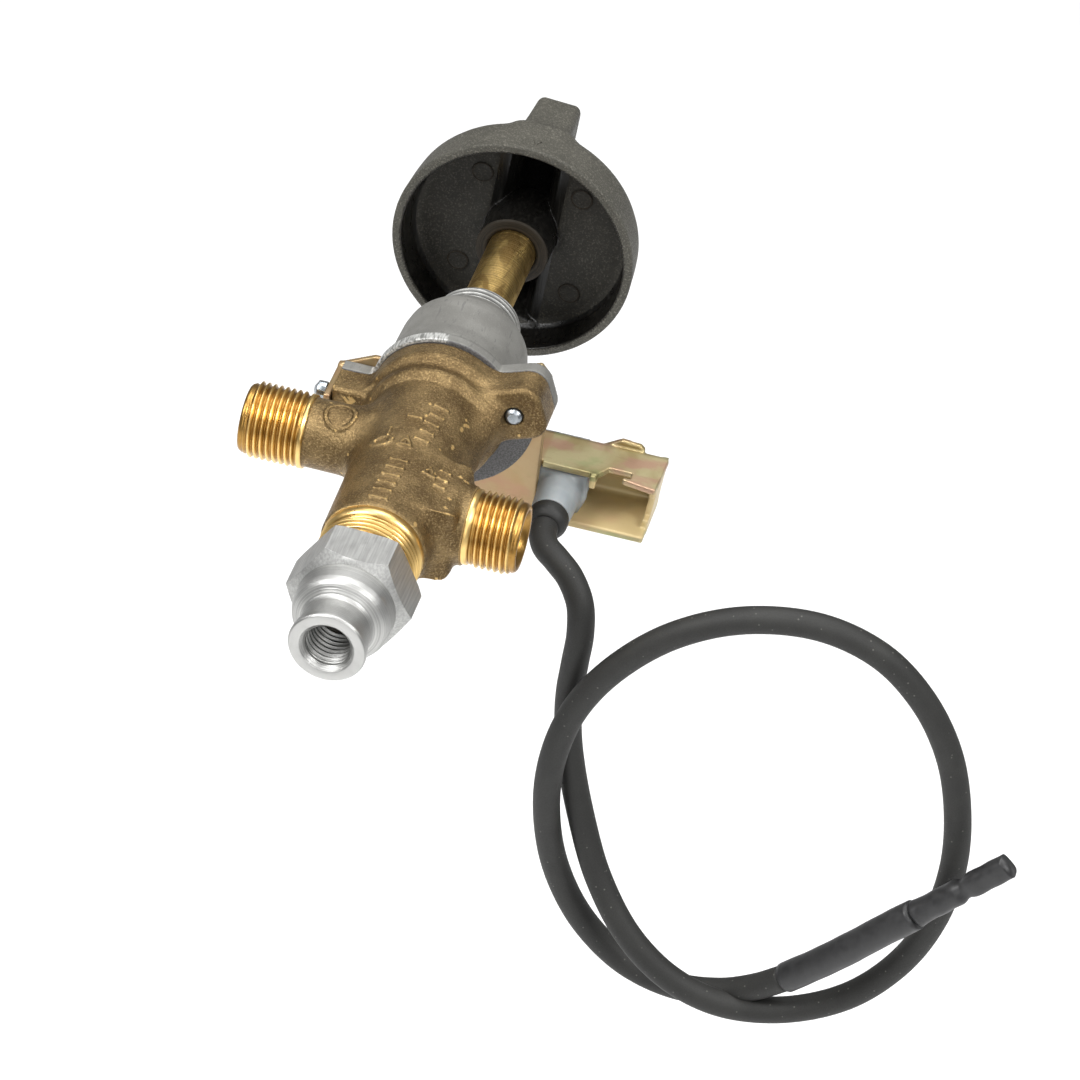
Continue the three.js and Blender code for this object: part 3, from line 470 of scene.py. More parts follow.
def forged_brass():
    m = Material("forged_brass", metallic=0.86)
    mottle = m.noise(4.5, detail=5)
    speckle = m.noise(0.30, detail=4, roughness=0.65)
    edges = m.pointiness(0.525, 0.575)
    hollows = m.pointiness(0.44, 0.50)
    m.shade(mottle, 0.35, 0.68, (0.120, 0.078, 0.033), (0.225, 0.155, 0.070))
    m.tint(speckle, 0.50, 0.68, 0.6, (0.44, 0.31, 0.145))
    m.tint(speckle, 0.48, 0.34, 0.5, (0.070, 0.045, 0.02))
    # Painted shade: the hollows between the forged shapes are darkened where shade falls.
    m.colour = m.mix(m.span(hollows, 0, 1, 0.6, 0), m.colour, (0.050, 0.032, 0.015))
    # Painted highlight: the outer edges are lightened to a golden glint.
    m.colour = m.mix(m.times(edges, 0.8), m.colour, (0.66, 0.45, 0.18))
    grain = m.bump(speckle, 0.16)
    m.bump(m.noise(1.7, detail=2), 0.14, over=grain)
    return m.finish(m.span(speckle, 0.3, 0.75, 0.50, 0.36))


def threaded_brass(name, axis, centre, root, crest):
    m = Material(name, metallic=1.0)
    along, across = (m.x, m.y) if axis == "X" else (m.y, m.x)
    height = m.span(m.radius(across, m.z, *centre), root, crest)
    wear = m.noise(2.2, detail=4)
    # Painted shade in the thread roots and painted highlight on the crests, following the radius from root to
    # crest.
    m.colour = m.mix(height, (0.34, 0.19, 0.05), (0.82, 0.57, 0.22))
    m.tint(wear, 0.45, 0.75, 0.45, (0.58, 0.37, 0.12))
    m.bump(m.rings(along, 0.12), 0.02)
    return m.finish(m.span(wear, 0.3, 0.7, 0.27, 0.40))


def turned_brass():
    m = Material("turned_brass", metallic=1.0)
    rings = m.rings(m.y, 0.35)
    stain = m.noise(3.0, detail=5, stretch=(1, 2.2, 1), distortion=0.8)
    m.shade(rings, 0.3, 0.7, (0.36, 0.235, 0.075), (0.62, 0.44, 0.17))
    m.tint(stain, 0.48, 0.64, 0.8, (0.15, 0.09, 0.03))
    m.bump(rings, 0.11)
    return m.finish(m.span(stain, 0.4, 0.7, 0.30, 0.47))


def cast_aluminium():
    m = Material("cast_aluminium", metallic=0.3)
    cloud = m.noise(5.0, detail=5)
    grain = m.noise(0.25, detail=3)
    scratch = m.noise(0.5, detail=4, stretch=(1, 6, 1), distortion=1.2)
    reach = m.radius(m.x, m.z)
    band = m.times(m.span(reach, 11.05, 11.2), m.span(m.y, -16.9, -16.4, 1, 0))
    band = m.times(band, m.span(reach, 12.0, 12.3, 1, 0))
    ring = m.times(band, m.span(m.x, 0.2, -0.6))
    m.shade(cloud, 0.35, 0.7, (0.146, 0.143, 0.131), (0.192, 0.189, 0.174))
    m.tint(grain, 0.55, 0.75, 0.4, (0.27, 0.27, 0.255))
    m.tint(scratch, 0.58, 0.68, 0.55, (0.095, 0.095, 0.09))
    # Painted shade on the flange's back face: its rough cast grain in a darker colour, which stands in for the
    # shadow there.
    back = m.span(m.y, -19.1, -19.0, 1, 0)
    shaded_rough_face = m.mix(m.span(grain, 0.35, 0.65), (0.07, 0.068, 0.068), (0.13, 0.128, 0.128))
    m.colour = m.mix(back, m.colour, shaded_rough_face)
    chatter = m.noise(0.8, detail=3, stretch=(0.5, 3, 0.5))
    machined = m.mix(m.span(chatter, 0.38, 0.62), (0.16, 0.16, 0.15), (0.48, 0.48, 0.46))
    m.colour = m.mix(ring, m.colour, machined)
    m.bump(grain, 0.05)
    roughness = m.span(cloud, 0.3, 0.7, 0.66, 0.56)
    return m.finish(m.math("SUBTRACT", roughness, m.times(ring, 0.24)))


def threaded_aluminium():
    m = Material("threaded_aluminium", metallic=0.6)
    reach = m.radius(m.x, m.z)
    wear = m.noise(0.7, detail=4)
    # Painted shade in the thread roots and painted highlight on the crests: darker towards the root radius,
    # lighter at the crest.
    m.shade(reach, 6.5, 7.0, (0.045, 0.044, 0.041), (0.36, 0.36, 0.345))
    m.tint(wear, 0.45, 0.7, 0.4, (0.17, 0.17, 0.16))
    m.bump(wear, 0.05)
    return m.finish(m.span(wear, 0.3, 0.7, 0.40, 0.55))


def turned_aluminium():
    m = Material("turned_aluminium", metallic=0.95)
    rings = m.rings(m.y, 0.16)
    cloud = m.noise(2.5, detail=4)
    m.shade(rings, 0.3, 0.7, (0.33, 0.33, 0.32), (0.50, 0.50, 0.485))
    m.tint(cloud, 0.5, 0.8, 0.25, (0.26, 0.26, 0.25))
    m.bump(rings, 0.05)
    return m.finish(m.span(cloud, 0.3, 0.7, 0.38, 0.46))


def drawn_aluminium():
    m = Material("drawn_aluminium", metallic=0.95)
    streaks = m.noise(0.30, detail=4, stretch=(1, 26, 1))
    dents = m.noise(1.4, detail=3)
    m.shade(streaks, 0.35, 0.7, (0.34, 0.34, 0.33), (0.46, 0.46, 0.445))
    m.bump(streaks, 0.012)
    return m.finish(m.span(dents, 0.3, 0.7, 0.42, 0.52))


def clouded_metal(name, metallic, size, colours, grain, depth, roughness):
    """Bright metal in two cloudy shades, under a fine grain."""
    m = Material(name, metallic)
    cloud = m.noise(size, detail=4)
    m.shade(cloud, 0.35, 0.7, *colours)
    m.bump(m.noise(grain), depth)
    return m.finish(m.span(cloud, 0.3, 0.7, *roughness))


def yellow_zinc_sheet():
    m = Material("yellow_zinc_sheet", metallic=0.7)
    drift = m.noise(9.0, detail=3, distortion=0.6)
    second = m.noise(6.0, detail=4, stretch=(1.5, 1, 1))
    speckle = m.noise(0.35, detail=4)
    streak = m.noise(0.9, detail=4, stretch=(5, 1, 1))
    m.shade(drift, 0.38, 0.62, (0.34, 0.265, 0.125), (0.42, 0.365, 0.205))
    m.tint(second, 0.50, 0.64, 0.7, (0.40, 0.22, 0.165))
    m.tint(second, 0.46, 0.34, 0.5, (0.27, 0.32, 0.14))
    m.tint(speckle, 0.58, 0.76, 0.35, (0.28, 0.22, 0.10))
    m.tint(streak, 0.60, 0.72, 0.35, (0.30, 0.22, 0.12))
    m.tint(m.x, 16.9, 16.3, 0.55, (0.36, 0.215, 0.115))
    # Painted light inside the channel, where the roof shades its floor and back: a lighter colour and a less
    # metallic finish there.
    channel_painted_light = m.times(m.span(m.y, -6.6, -7.0), m.span(m.z, -18.4, -18.05))
    channel_painted_light = m.times(channel_painted_light, m.times(m.span(m.z, -9.75, -10.0), m.span(m.x, 16.0, 17.0)))
    m.colour = m.mix(m.times(channel_painted_light, 0.7), m.colour, (0.55, 0.41, 0.20))
    m.put(m.shader.inputs["Metallic"], m.span(channel_painted_light, 0, 1, 0.7, 0.15))
    m.bump(speckle, 0.016)
    return m.finish(m.span(drift, 0.3, 0.7, 0.34, 0.44))


def spark_texture(name, specular, size, colours, speckle, top, depth, roughness):
    """The knob's spark-textured moulding: cloudy in two shades, under light speckles."""
    m = Material(name, specular=specular)
    grain = m.noise(0.34, detail=4, roughness=0.7)
    m.shade(m.noise(size, detail=3), 0.3, 0.7, *colours)
    m.tint(grain, 0.50, top, 0.8, speckle)
    m.bump(grain, depth)
    return m.finish(m.span(grain, 0.3, 0.7, *roughness))


def one_noise(name, size, detail, stretch, colours, depth, roughness, low=0.3, specular=0.5):
    """A plain material whose colour, relief and roughness follow the same noise."""
    m = Material(name, specular=specular)
    noise = m.noise(size, detail, stretch=stretch)
    m.shade(noise, low, 0.7, *colours)
    m.bump(noise, depth)
    return m.finish(m.span(noise, 0.3, 0.7, *roughness))


def knob_hub_end():
    """The hub's end face, turned flat."""
    m = Material("knob_hub_end", specular=0.15)
    rings = m.rings(m.radius(m.x, m.z), 0.3)
    m.shade(rings, 0.3, 0.7, (0.010, 0.0085, 0.0062), (0.028, 0.0225, 0.016))
    m.bump(rings, 0.05)
    return m.finish(m.span(rings, 0.3, 0.7, 0.5, 0.62))


def grey_plastic():
    m = Material("grey_plastic")
    cloud = m.noise(4.0, detail=3)
    m.shade(cloud, 0.3, 0.7, (0.215, 0.235, 0.245), (0.27, 0.29, 0.295))
    m.bump(m.noise(0.25), 0.015)
    m.put(m.shader.inputs["Subsurface Weight"], 0.1)
    m.put(m.shader.inputs["Subsurface Scale"], 0.001)
    return m.finish(m.span(cloud, 0.3, 0.7, 0.42, 0.5))


def rubber(name, dark, light, roughness=0.6):
    m = Material(name)
    cloud = m.noise(6.0, detail=4)
    dust = m.cells(1.5)
    grain = m.noise(0.18, detail=3)
    m.shade(cloud, 0.3, 0.7, dark, light)
    m.tint(dust, 0.12, 0.06, 0.6, [c * 8 for c in light])
    m.bump(grain, 0.02)
    return m.finish(m.span(grain, 0.3, 0.7, roughness + 0.06, roughness - 0.06))


SLOT_MATERIALS = {
    "forged_brass": forged_brass(),
    "turned_brass": turned_brass(),
    "cast_aluminium": cast_aluminium(),
    "turned_aluminium": turned_aluminium(),
    "zinc_steel": clouded_metal(
        "zinc_steel", 0.95, 0.9, ((0.28, 0.31, 0.33), (0.46, 0.49, 0.52)), 0.2, 0.012, (0.26, 0.4)),
    "spring_steel": clouded_metal(
        "spring_steel", 0.95, 0.6, ((0.30, 0.30, 0.32), (0.50, 0.50, 0.52)), 0.1, 0.008, (0.28, 0.42)),
    "yellow_zinc_sheet": yellow_zinc_sheet(),
    "knob_plastic": spark_texture(
        "knob_plastic", 0.4, 7.0, ((0.043, 0.041, 0.032), (0.057, 0.054, 0.043)), (0.150, 0.141, 0.116), 0.66,
        0.22, (0.60, 0.50)),
    "grey_plastic": grey_plastic(),
    "black_rubber": rubber("black_rubber", (0.008, 0.008, 0.007), (0.013, 0.013, 0.0115)),
    "lead_rubber": rubber("lead_rubber", (0.0095, 0.0094, 0.0082), (0.0145, 0.0143, 0.0125), 0.66),
    "sleeve_plastic": one_noise(
        "sleeve_plastic", 1.1, 3, (1, 1, 1.4), ((0.011, 0.011, 0.0115), (0.019, 0.019, 0.0195)), 0.05,
        (0.42, 0.52)),
    "gasket": one_noise(
        "gasket_fibre", 0.3, 4, (3, 1, 1), ((0.035, 0.035, 0.032), (0.07, 0.07, 0.062)), 0.03, (0.85, 0.85)),
    "copper": clouded_metal(
        "copper", 1.0, 0.8, ((0.48, 0.22, 0.12), (0.70, 0.36, 0.22)), 0.2, 0.01, (0.25, 0.4)),
    "ceramic": one_noise(
        "ceramic", 0.5, 4, (1, 1, 1), ((0.70, 0.67, 0.60), (0.82, 0.80, 0.74)), 0.012, (0.5, 0.5), low=0.35),
}
KNOB_INSIDE = spark_texture(
    "knob_inner_plastic", 0.25, 5.0, ((0.013, 0.0122, 0.0095), (0.020, 0.0187, 0.0150)), (0.055, 0.051, 0.042),
    0.68, 0.06, (0.62, 0.62))
# The steel-smooth faces of the moulding, with faint draw marks.
KNOB_POLISHED = one_noise(
    "knob_polished_plastic", 0.5, 4, (1, 2, 14), ((0.0045, 0.0042, 0.0036), (0.012, 0.0112, 0.0092)), 0.05,
    (0.26, 0.42), low=0.5, specular=0.3)
KNOB_TURNED = knob_hub_end()


def dress(obj, slot, nodes=(), material=None, body="housing"):
    """Gives a piece its material, its body and the CAD nodes that it stands for."""
    obj.data.materials.clear()
    obj.data.materials.append(material or SLOT_MATERIALS[slot])
    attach(obj, body)
    if nodes:
        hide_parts(*nodes)
    return obj


# The CAD nodes that stay in view take their slot's finish.
for part in frame["record"]["subparts"]:
    node = frame["nodes"][part["node"]]
    node.data.materials.clear()
    node.data.materials.append(SLOT_MATERIALS[part["material_slot"]])


def screw_bore(field, radius, low, high):
    """The two screws' holes."""
    angle = math.radians(EAR_ANGLE)
    x, z = SCREW_CIRCLE_R * math.cos(angle), SCREW_CIRCLE_R * math.sin(angle)
    right = field.cylinder(radius, low, high, "Y", (x, z))
    return np.minimum(right, field.cylinder(radius, low, high, "Y", (-x, -z)))


# ---- brass body ----
def plug_seat_radius(y):
    return 6.9 + (y - BODY_TOP_Y) * 0.055


def ear_field(field, low, high, rounding):
    """Both ears, with the left end cut to the lug's face."""
    shape = field.prism(rectangle(LUG_FACE_X, -6.5, -8, 2), "XZ", low, high, rounding)
    for degrees in (EAR_ANGLE, EAR_ANGLE + 180):
        u, v = swung(field.x, field.z, degrees)
        du = np.abs(u - EAR_MIDDLE_R) - EAR_HALF_LENGTH + EAR_CORNER_R
        dv = np.abs(v) - EAR_HALF_WIDTH + EAR_CORNER_R
        shape = np.minimum(shape, extruded(corner(du, dv) - EAR_CORNER_R, field.y, low, high, rounding))
    return np.maximum(shape, LUG_FACE_X - field.x)


def body_forging():
    field = Field((-19, -62, -13), (19.5, -18.6, 13), 0.2)
    barrel = field.turned([
        (0, BODY_TOP_Y), (10.9, BODY_TOP_Y), (11.1, -19.5), (11.1, -22.2), (10.9, -22.9), (10.2, -23.5),
        (10.05, -24.1), (10.25, -24.9), (10.45, -25.6), (10.35, -26.3), (9.8, -26.9), (9.35, -27.5),
        (9.4, -30.5), (8.85, -40), (8.55, -48), (8.35, BARREL_END_Y + 0.5), (8.1, BARREL_END_Y),
        (0, BARREL_END_Y),
    ])
    ears = ear_field(field, BODY_TOP_Y - 5.7, BODY_TOP_Y + 1, 0.9)
    shape = blend_union(barrel, ears, 2.2)
    u, v = swung(field.x, field.z, EAR_ANGLE)
    gusset = np.sqrt(((np.abs(u) - 7.5) / 4.6) ** 2 + ((field.y + 24) / 7.5) ** 2 + (v / 3.6) ** 2)
    shape = blend_union(shape, (gusset - 1) * 3.6, 2.2)
    shape = np.maximum(shape, LUG_FACE_X - field.x)
    neck = field.turned([(0, OUTLET_THREAD_X), (5.5, OUTLET_THREAD_X), (5.6, -8), (0, -8)], "X", (OUTLET_Y, 0))
    neck = blend_cut(neck, field.z + 4.7, 0.8)
    shape = blend_union(shape, neck, 3.2)
    boss = field.prism(rectangle(INLET_Y - 6.8, -6.4, INLET_Y + 6.2, 6.4), "YZ", -2, 11.3, 1.8)
    shape = blend_union(shape, boss, 2.6)
    shape = blend_union(shape, field.cylinder(6.2, 0, INLET_THREAD_X, "X", (INLET_Y, 0)), 0.8)
    shape = blend_union(shape, body_marks(field, shape), 0.15)
    shape = np.maximum(shape, field.y - BODY_TOP_Y)
    bore = field.turned([
        (0, BODY_TOP_Y + 2), (8.5, BODY_TOP_Y + 2), (8.5, -20.8), (plug_seat_radius(-20.8), -20.8),
        (plug_seat_radius(-41), -41), (3, -41), (3, -45), (6, -45), (6, -62), (0, -62),
    ])
    shape = cut(shape, bore)
    outlet = [(0, -30), (PORT_BORE_R, -30), (PORT_BORE_R, -20.3), (2.6, -19.3), (2.6, -3), (0, -3)]
    inlet = [(0, 24), (PORT_BORE_R, 24), (PORT_BORE_R, 13.8), (3, 12.8), (3, 3), (0, 3)]
    for profile, y in ((outlet, OUTLET_Y), (inlet, INLET_Y)):
        shape = cut(shape, field.turned(profile, "X", (y, 0)))
    shape = blend_cut(shape, screw_bore(field, 1.5, -30, -18), 0.3)
    return dress(field.mesh("body_forging", shape), "forged_brass", ["valve_body"])


def body_marks(field, surface):
    """Generic raised marks that follow the surface: flow arrows, plain bars, a ring and an oval."""
    marks = None
    for x, y, size in ((-0.2, -43.3, 1.3), (5.0, -47.9, 1.2)):
        outline = [(x - size, y - size), (x + size, y - size), (x, y + size)]
        hollow = [(x - size * 0.4, y - size * 0.58), (x + size * 0.4, y - size * 0.58), (x, y + size * 0.2)]
        arrow = cut(field.prism(outline, "XY", 0, 20), field.prism(hollow, "XY", 0, 20))
        marks = arrow if marks is None else np.minimum(marks, arrow)
    bars = [(-0.5 + 0.11 * k, -58.3 + 2.0 * k, 1.5, 0.3) for k in range(6)]
    bars += [(2.0 + 0.2 * k, -42.0 + 2.2 * k, 1.2, 0.32) for k in range(5)]
    bars += [(7.1, -50.2 + 1.9 * k, 0.9, 0.3) for k in range(3)]
    bars += [(-3.4, -41.2, 0.3, 1.1), (-0.4, -37.2, 1.2, 0.3)]
    for x, y, half_x, half_y in bars:
        bar = field.prism(rectangle(x - half_x, y - half_y, x + half_x, y + half_y), "XY", 0, 20, 0.1)
        marks = np.minimum(marks, bar)
    for x, y, radius_x, radius_y in ((-12.2, -36.2, 2.3, 2.3), (-3.9, -43.6, 1.4, 1.0)):
        ring = np.abs(np.hypot((field.x - x) / radius_x, (field.y - y) / radius_y) - 1)
        marks = np.minimum(marks, ring * min(radius_x, radius_y) - 0.3)
    return np.maximum(np.maximum(surface - 0.34, marks), -field.z)


def port_thread(name, start, end, centre_y, plain):
    """A male port: a plain turned band of the given width, then the thread."""
    side = 1 if end > start else -1
    root, bore = PORT_ROOT_R, PORT_BORE_R
    outer = [(PORT_R - 0.12, start - side * 0.6), (PORT_R - 0.08, start + side * plain)]
    outer += threaded(root, PORT_R - root, start + side * (plain + 0.1), end - side * 0.7)
    outer += [(root + 0.1, end - side * 0.6), (root - 0.15, end - side * 0.12), (root - 0.3, end)]
    inner = [(bore + 1.0, end), (bore + 0.86, end - side * 0.12), (bore + 0.05, end - side * 0.9),
             (bore, end - side * 1.1), (bore, end - side * 7.0), (bore, start - side * 0.6)]
    obj = revolved(name, outer + inner, "X", (centre_y, 0), segments=120, closed=True)
    material = threaded_brass(name, "X", (centre_y, 0), root + 0.05, PORT_R - 0.05)
    return dress(obj, "turned_brass", material=material)


def neck_thread():
    root = NECK_R - 0.6
    outer = [(8.05, BARREL_END_Y + 0.4), (8.05, BARREL_END_Y - 1.3), (root + 0.2, BARREL_END_Y - 1.7)]
    outer += threaded(root, 0.6, BARREL_END_Y - 1.8, BODY_END_Y + 0.4)
    outer += [(NECK_R - 0.9, BODY_END_Y)]
    inner = [(6.5, BODY_END_Y), (6.5, BARREL_END_Y + 0.4)]
    obj = revolved("neck_thread", outer + inner, segments=120, closed=True)
    material = threaded_brass("neck_thread", "Y", (0, 0), root + 0.05, NECK_R - 0.05)
    return dress(obj, "turned_brass", material=material)


# ---- bonnet ----
def bonnet_casting():
    field = Field((-19, -19.8, -16.5), (19.5, 1.4, 13), 0.24)
    dome = field.turned([
        (0, -19.2), (11, -19.2), (11.1, -16.2), (10.6, -13), (10.45, -6), (10.2, -4.2), (9.6, -3.0),
        (8.9, -1.9), (8.2, -0.8), (7.8, 0), (7.0, 0), (7.0, 0.4), (0, 0.4),
    ])
    upper = field.turned([(0, -19.2), (11.7, -19.2), (11.7, -17.4), (11.2, -16.6), (0, -16.6)])
    lower = np.maximum(field.cylinder(15.3, -19.2, FLANGE_TOP_Y), np.maximum(field.z + 0.5, -12.5 - field.x))
    flange = np.minimum(lower, ear_field(field, -19.2, FLANGE_TOP_Y, 0.3))
    shape = np.minimum(blend_union(dome, flange, 0.8), upper)
    hollow = field.turned([(0, -21), (8.8, -21), (8.8, -4), (7.4, -1.5), (4.3, -1.5), (4.3, 3), (0, 3)])
    shape = cut(shape, hollow)
    slot = extruded(np.maximum(np.abs(field.x) - 3.1, field.z + 6), field.y, -6.5, -1.5)
    shape = cut(shape, slot)
    shape = cut(shape, screw_bore(field, 1.55, -21, -14))
    return dress(field.mesh("bonnet_casting", shape), "cast_aluminium", ["bonnet"])


def panel_thread():
    root = PANEL_THREAD_R - 0.6
    outer = [(root + 0.3, 0.05)] + threaded(root, 0.6, 0.2, 4.35, runout=0.4) + [(root - 0.25, 4.6)]
    inner = [(4.45, 4.6), (4.3, 4.45), (4.3, 0.05)]
    obj = revolved("panel_thread", outer + inner, segments=120, closed=True)
    return dress(obj, "cast_aluminium", material=threaded_aluminium())


# ---- stem ----
def stem_shaft():
    profile = rounded_profile([
        (0.02, -24), (3, -24), (3, -4.3), (2.6, -4.3), (2.6, -3.4), (3, -3.4), (3, -1.6), (STEM_R, -1.6),
        (STEM_R, 26.6), (STEM_R, STEM_TOP_Y - 0.6), (STEM_R - 0.6, STEM_TOP_Y), (0.02, STEM_TOP_Y),
    ])
    obj = revolved("stem_shaft", profile)
    flat = -2.6 * MM
    for vertex in obj.data.vertices:
        if vertex.co.y > (KNOB_RIM_Y + 0.79) * MM and vertex.co.z < flat:
            vertex.co.z = flat
    return dress(knob_set(obj), "turned_brass", ["stem"], body="spindle")


# ---- adapter nut ----
def adapter_hex():
    reach = HEX_ACROSS_FLATS / math.sqrt(3)
    points = []
    for y in (-76, -60):
        for k in range(6):
            angle = math.radians(60 * k + HEX_ANGLE)
            points.append((reach * math.cos(angle), y, reach * math.sin(angle)))
    sides = [(k, (k + 1) % 6, (k + 1) % 6 + 6, k + 6) for k in range(6)]
    ends = [(5, 4, 3, 2, 1, 0), (6, 7, 8, 9, 10, 11)]
    obj = mesh_object("adapter_hex", points, sides + ends, smooth=False)
    blank = revolved("blank", [
        (5.6, NUT_BACK_Y), (9.1, NUT_BACK_Y), (reach + 0.2, NUT_BACK_Y - 0.55),
        (reach + 0.2, NUT_FRONT_Y + 0.25), (7.7, -75.4), (5.6, -75.4),
    ], segments=128, closed=True)
    obj = soft_edges(intersected(obj, blank), 0.14)
    return dress(obj, "turned_aluminium", ["adapter_nut"], drawn_aluminium())


def adapter_nose():
    outer = rounded_profile([
        (6.4, -74.9), (7.7, -75.1), (7.62, -78.2), (7.35, -79), (6.9, -79.5), (5.6, -80.3), (5.35, -81),
        (5.5, -82.6), (5.98, -85.2), (6.04, -85.9), (5.8, NOSE_END_Y), (4.35, NOSE_END_Y),
    ], radius=0.14)
    inner = [(4.2, NOSE_END_Y + 0.05), (3.95, -85.7)] + threaded(3.46, 0.49, -85.4, -77.4, runout=0.6)
    inner += [(3.46, -76.4), (2.7, -75.6), (2.7, -74.9)]
    obj = revolved("adapter_nose", outer + inner, segments=128, closed=True)
    return dress(obj, "turned_aluminium")


def adapter_spigot():
    profile = [(5.15, -68), (6.2, -68), (6.2, -59.5), (6.05, -59.4), (5.15, -59.4)]
    return dress(revolved("adapter_spigot", profile, closed=True), "turned_aluminium")


# ---- knob ----
def knob_set(obj):
    """The knob stands a few degrees round from upright."""
    obj.data.transform(Matrix.Rotation(math.radians(KNOB_SET_ANGLE), 4, "Y"))
    return obj


def knob_body():
    field = Field((-20.8, 25.2, -20.8), (20.8, 50, 20.8), 0.26)
    shell = field.turned([
        (0, KNOB_RIM_Y), (20.0, KNOB_RIM_Y), (KNOB_R, 26.1), (19.85, 31), (19.6, 33.2), (19.05, 34.6),
        (17.8, 35.7), (15.8, KNOB_TOP_Y), (0, KNOB_TOP_Y),
    ])
    side = [(30, -19.6), (30, 19.6), (33.4, 19.3), (KNOB_TOP_Y, 18.3), (41.6, 17.5), (GRIP_TOP_Y, 16.7),
            (GRIP_TOP_Y, -16.7), (41.6, -17.5), (KNOB_TOP_Y, -18.3), (33.4, -19.3)]
    grip_across = field.prism(mirrored([(4.2, 34), (4.1, KNOB_TOP_Y), (3.7, GRIP_TOP_Y)]), "XY", -30, 30)
    grip = blend_cut(grip_across, -field.prism(side, "YZ", -30, 30), 1.8)
    grip = blend_cut(grip, GRIP_TOP_Y - 0.05 - field.y, 1.6)
    shape = blend_union(shell, grip, 2.6)
    disc = field.turned([(0, 20), (KNOB_R, 20), (KNOB_R, 26.2), (19.3, 40), (18.6, 50), (0, 50)])
    shape = np.maximum(np.maximum(shape, disc), KNOB_RIM_Y - field.y)
    hollow = field.turned([
        (0, 24), (18.7, 24), (18.2, 31.2), (17.6, 32.0), (16.8, KNOB_FLOOR_Y), (0, KNOB_FLOOR_Y),
    ])
    shape = blend_cut(shape, hollow, 0.4)
    across = mirrored([(5.7, 30), (5.7, KNOB_FLOOR_Y), (4.2, 33.2), (3.0, 35), (2.7, KNOB_TOP_Y), (2.3, 46.9)])
    channel_across = field.prism(across, "XY", -30, 30)
    channel_along = field.prism([(29, -16.9), (29, 16.9), (48, 14.6), (48, -14.6)], "YZ", -30, 30)
    shape = blend_cut(shape, np.maximum(channel_across, channel_along), 0.7)
    hub = field.turned([
        (0, KNOB_RIM_Y), (5.95, KNOB_RIM_Y), (6.06, 25.95), (6.06, KNOB_TOP_Y), (0, KNOB_TOP_Y),
    ])
    core = field.prism(rectangle(-2.8, KNOB_TOP_Y - 1, 2.8, GRIP_TOP_Y - 1), "XY", -5.4, 5.4)
    shape = np.minimum(np.minimum(shape, hub), core)
    bore_top = STEM_TOP_Y + 0.1
    bore = field.turned([(0, 24), (STEM_R + 0.1, 24), (STEM_R + 0.05, bore_top), (0, bore_top)])
    shape = cut(shape, bore)
    obj = field.mesh("knob_body", shape)
    dress(obj, "knob_plastic", ["knob"], body="spindle")
    for finish in (KNOB_INSIDE, KNOB_POLISHED, KNOB_TURNED):
        obj.data.materials.append(finish)
    paint_inside(obj)
    return knob_set(obj)


def paint_inside(obj):
    """The floor of the knob's hollow is matt; its walls, the hub's side and the grip's slot are polished."""
    for face in obj.data.polygons:
        x, y, z = face.center / MM
        reach = math.hypot(x, z)
        hub_end = reach < 6.3 and y < KNOB_RIM_Y + 0.25
        in_slot = KNOB_FLOOR_Y + 0.15 < y < 47.2 and abs(z) < 16.9 and abs(x) < (5.9 if y < 36.1 else 2.95)
        in_slot = in_slot and (y < 36.1 or abs(z) < 16.3)
        in_skirt = reach < 18.9 and y < KNOB_FLOOR_Y + 0.3 and not hub_end
        if hub_end:
            face.material_index = 3
        elif in_slot or (in_skirt and (abs(face.normal.y) < 0.7 or reach < 6.3)):
            face.material_index = 2
        elif in_skirt:
            face.material_index = 1


def ejector_marks():
    """Four shallow discs left by the moulding pins on the knob's inner floor."""
    vertices, faces = [], []
    segments = 40
    rings = ((1.9, 0.1), (1.86, -0.12), (1.7, -0.26), (1.55, -0.12), (0.4, -0.12))
    per_mark = (len(rings) - 1) * segments + 2
    for x, z in ((8.7, 9.3), (-8.2, 9.1), (9.9, -9.2), (-9.3, -9)):
        for radius, rise in rings:
            vertices += [(x + radius * u, KNOB_FLOOR_Y + rise, z + radius * v) for u, v in circle(segments)]
        faces += ring_faces(len(rings), segments, base=len(vertices) - len(rings) * segments)
    obj = knob_set(mesh_object("ejector_marks", vertices, faces))
    dress(obj, "knob_plastic", material=KNOB_INSIDE, body="spindle")
    obj.data.materials.append(KNOB_TURNED)
    for k, face in enumerate(obj.data.polygons):
        if k % per_mark // segments in (1, 2):
            face.material_index = 1
    return obj


def knob_pointer():
    """The small raised triangle on the skirt."""
    outline = [(-0.9, 29.2), (0.9, 29.2), (0.0, 27.4)]
    vertices = [(x, y, 19.5) for x, y in outline]
    vertices += [(x * 0.8, 28.5 + (y - 28.5) * 0.8, 20.25) for x, y in outline]
    faces = [(0, 1, 2), (3, 5, 4), (0, 3, 4, 1), (1, 4, 5, 2), (2, 5, 3, 0)]
    obj = soft_edges(mesh_object("knob_pointer", vertices, faces), 0.08)
    return dress(knob_set(obj), "knob_plastic", body="spindle")


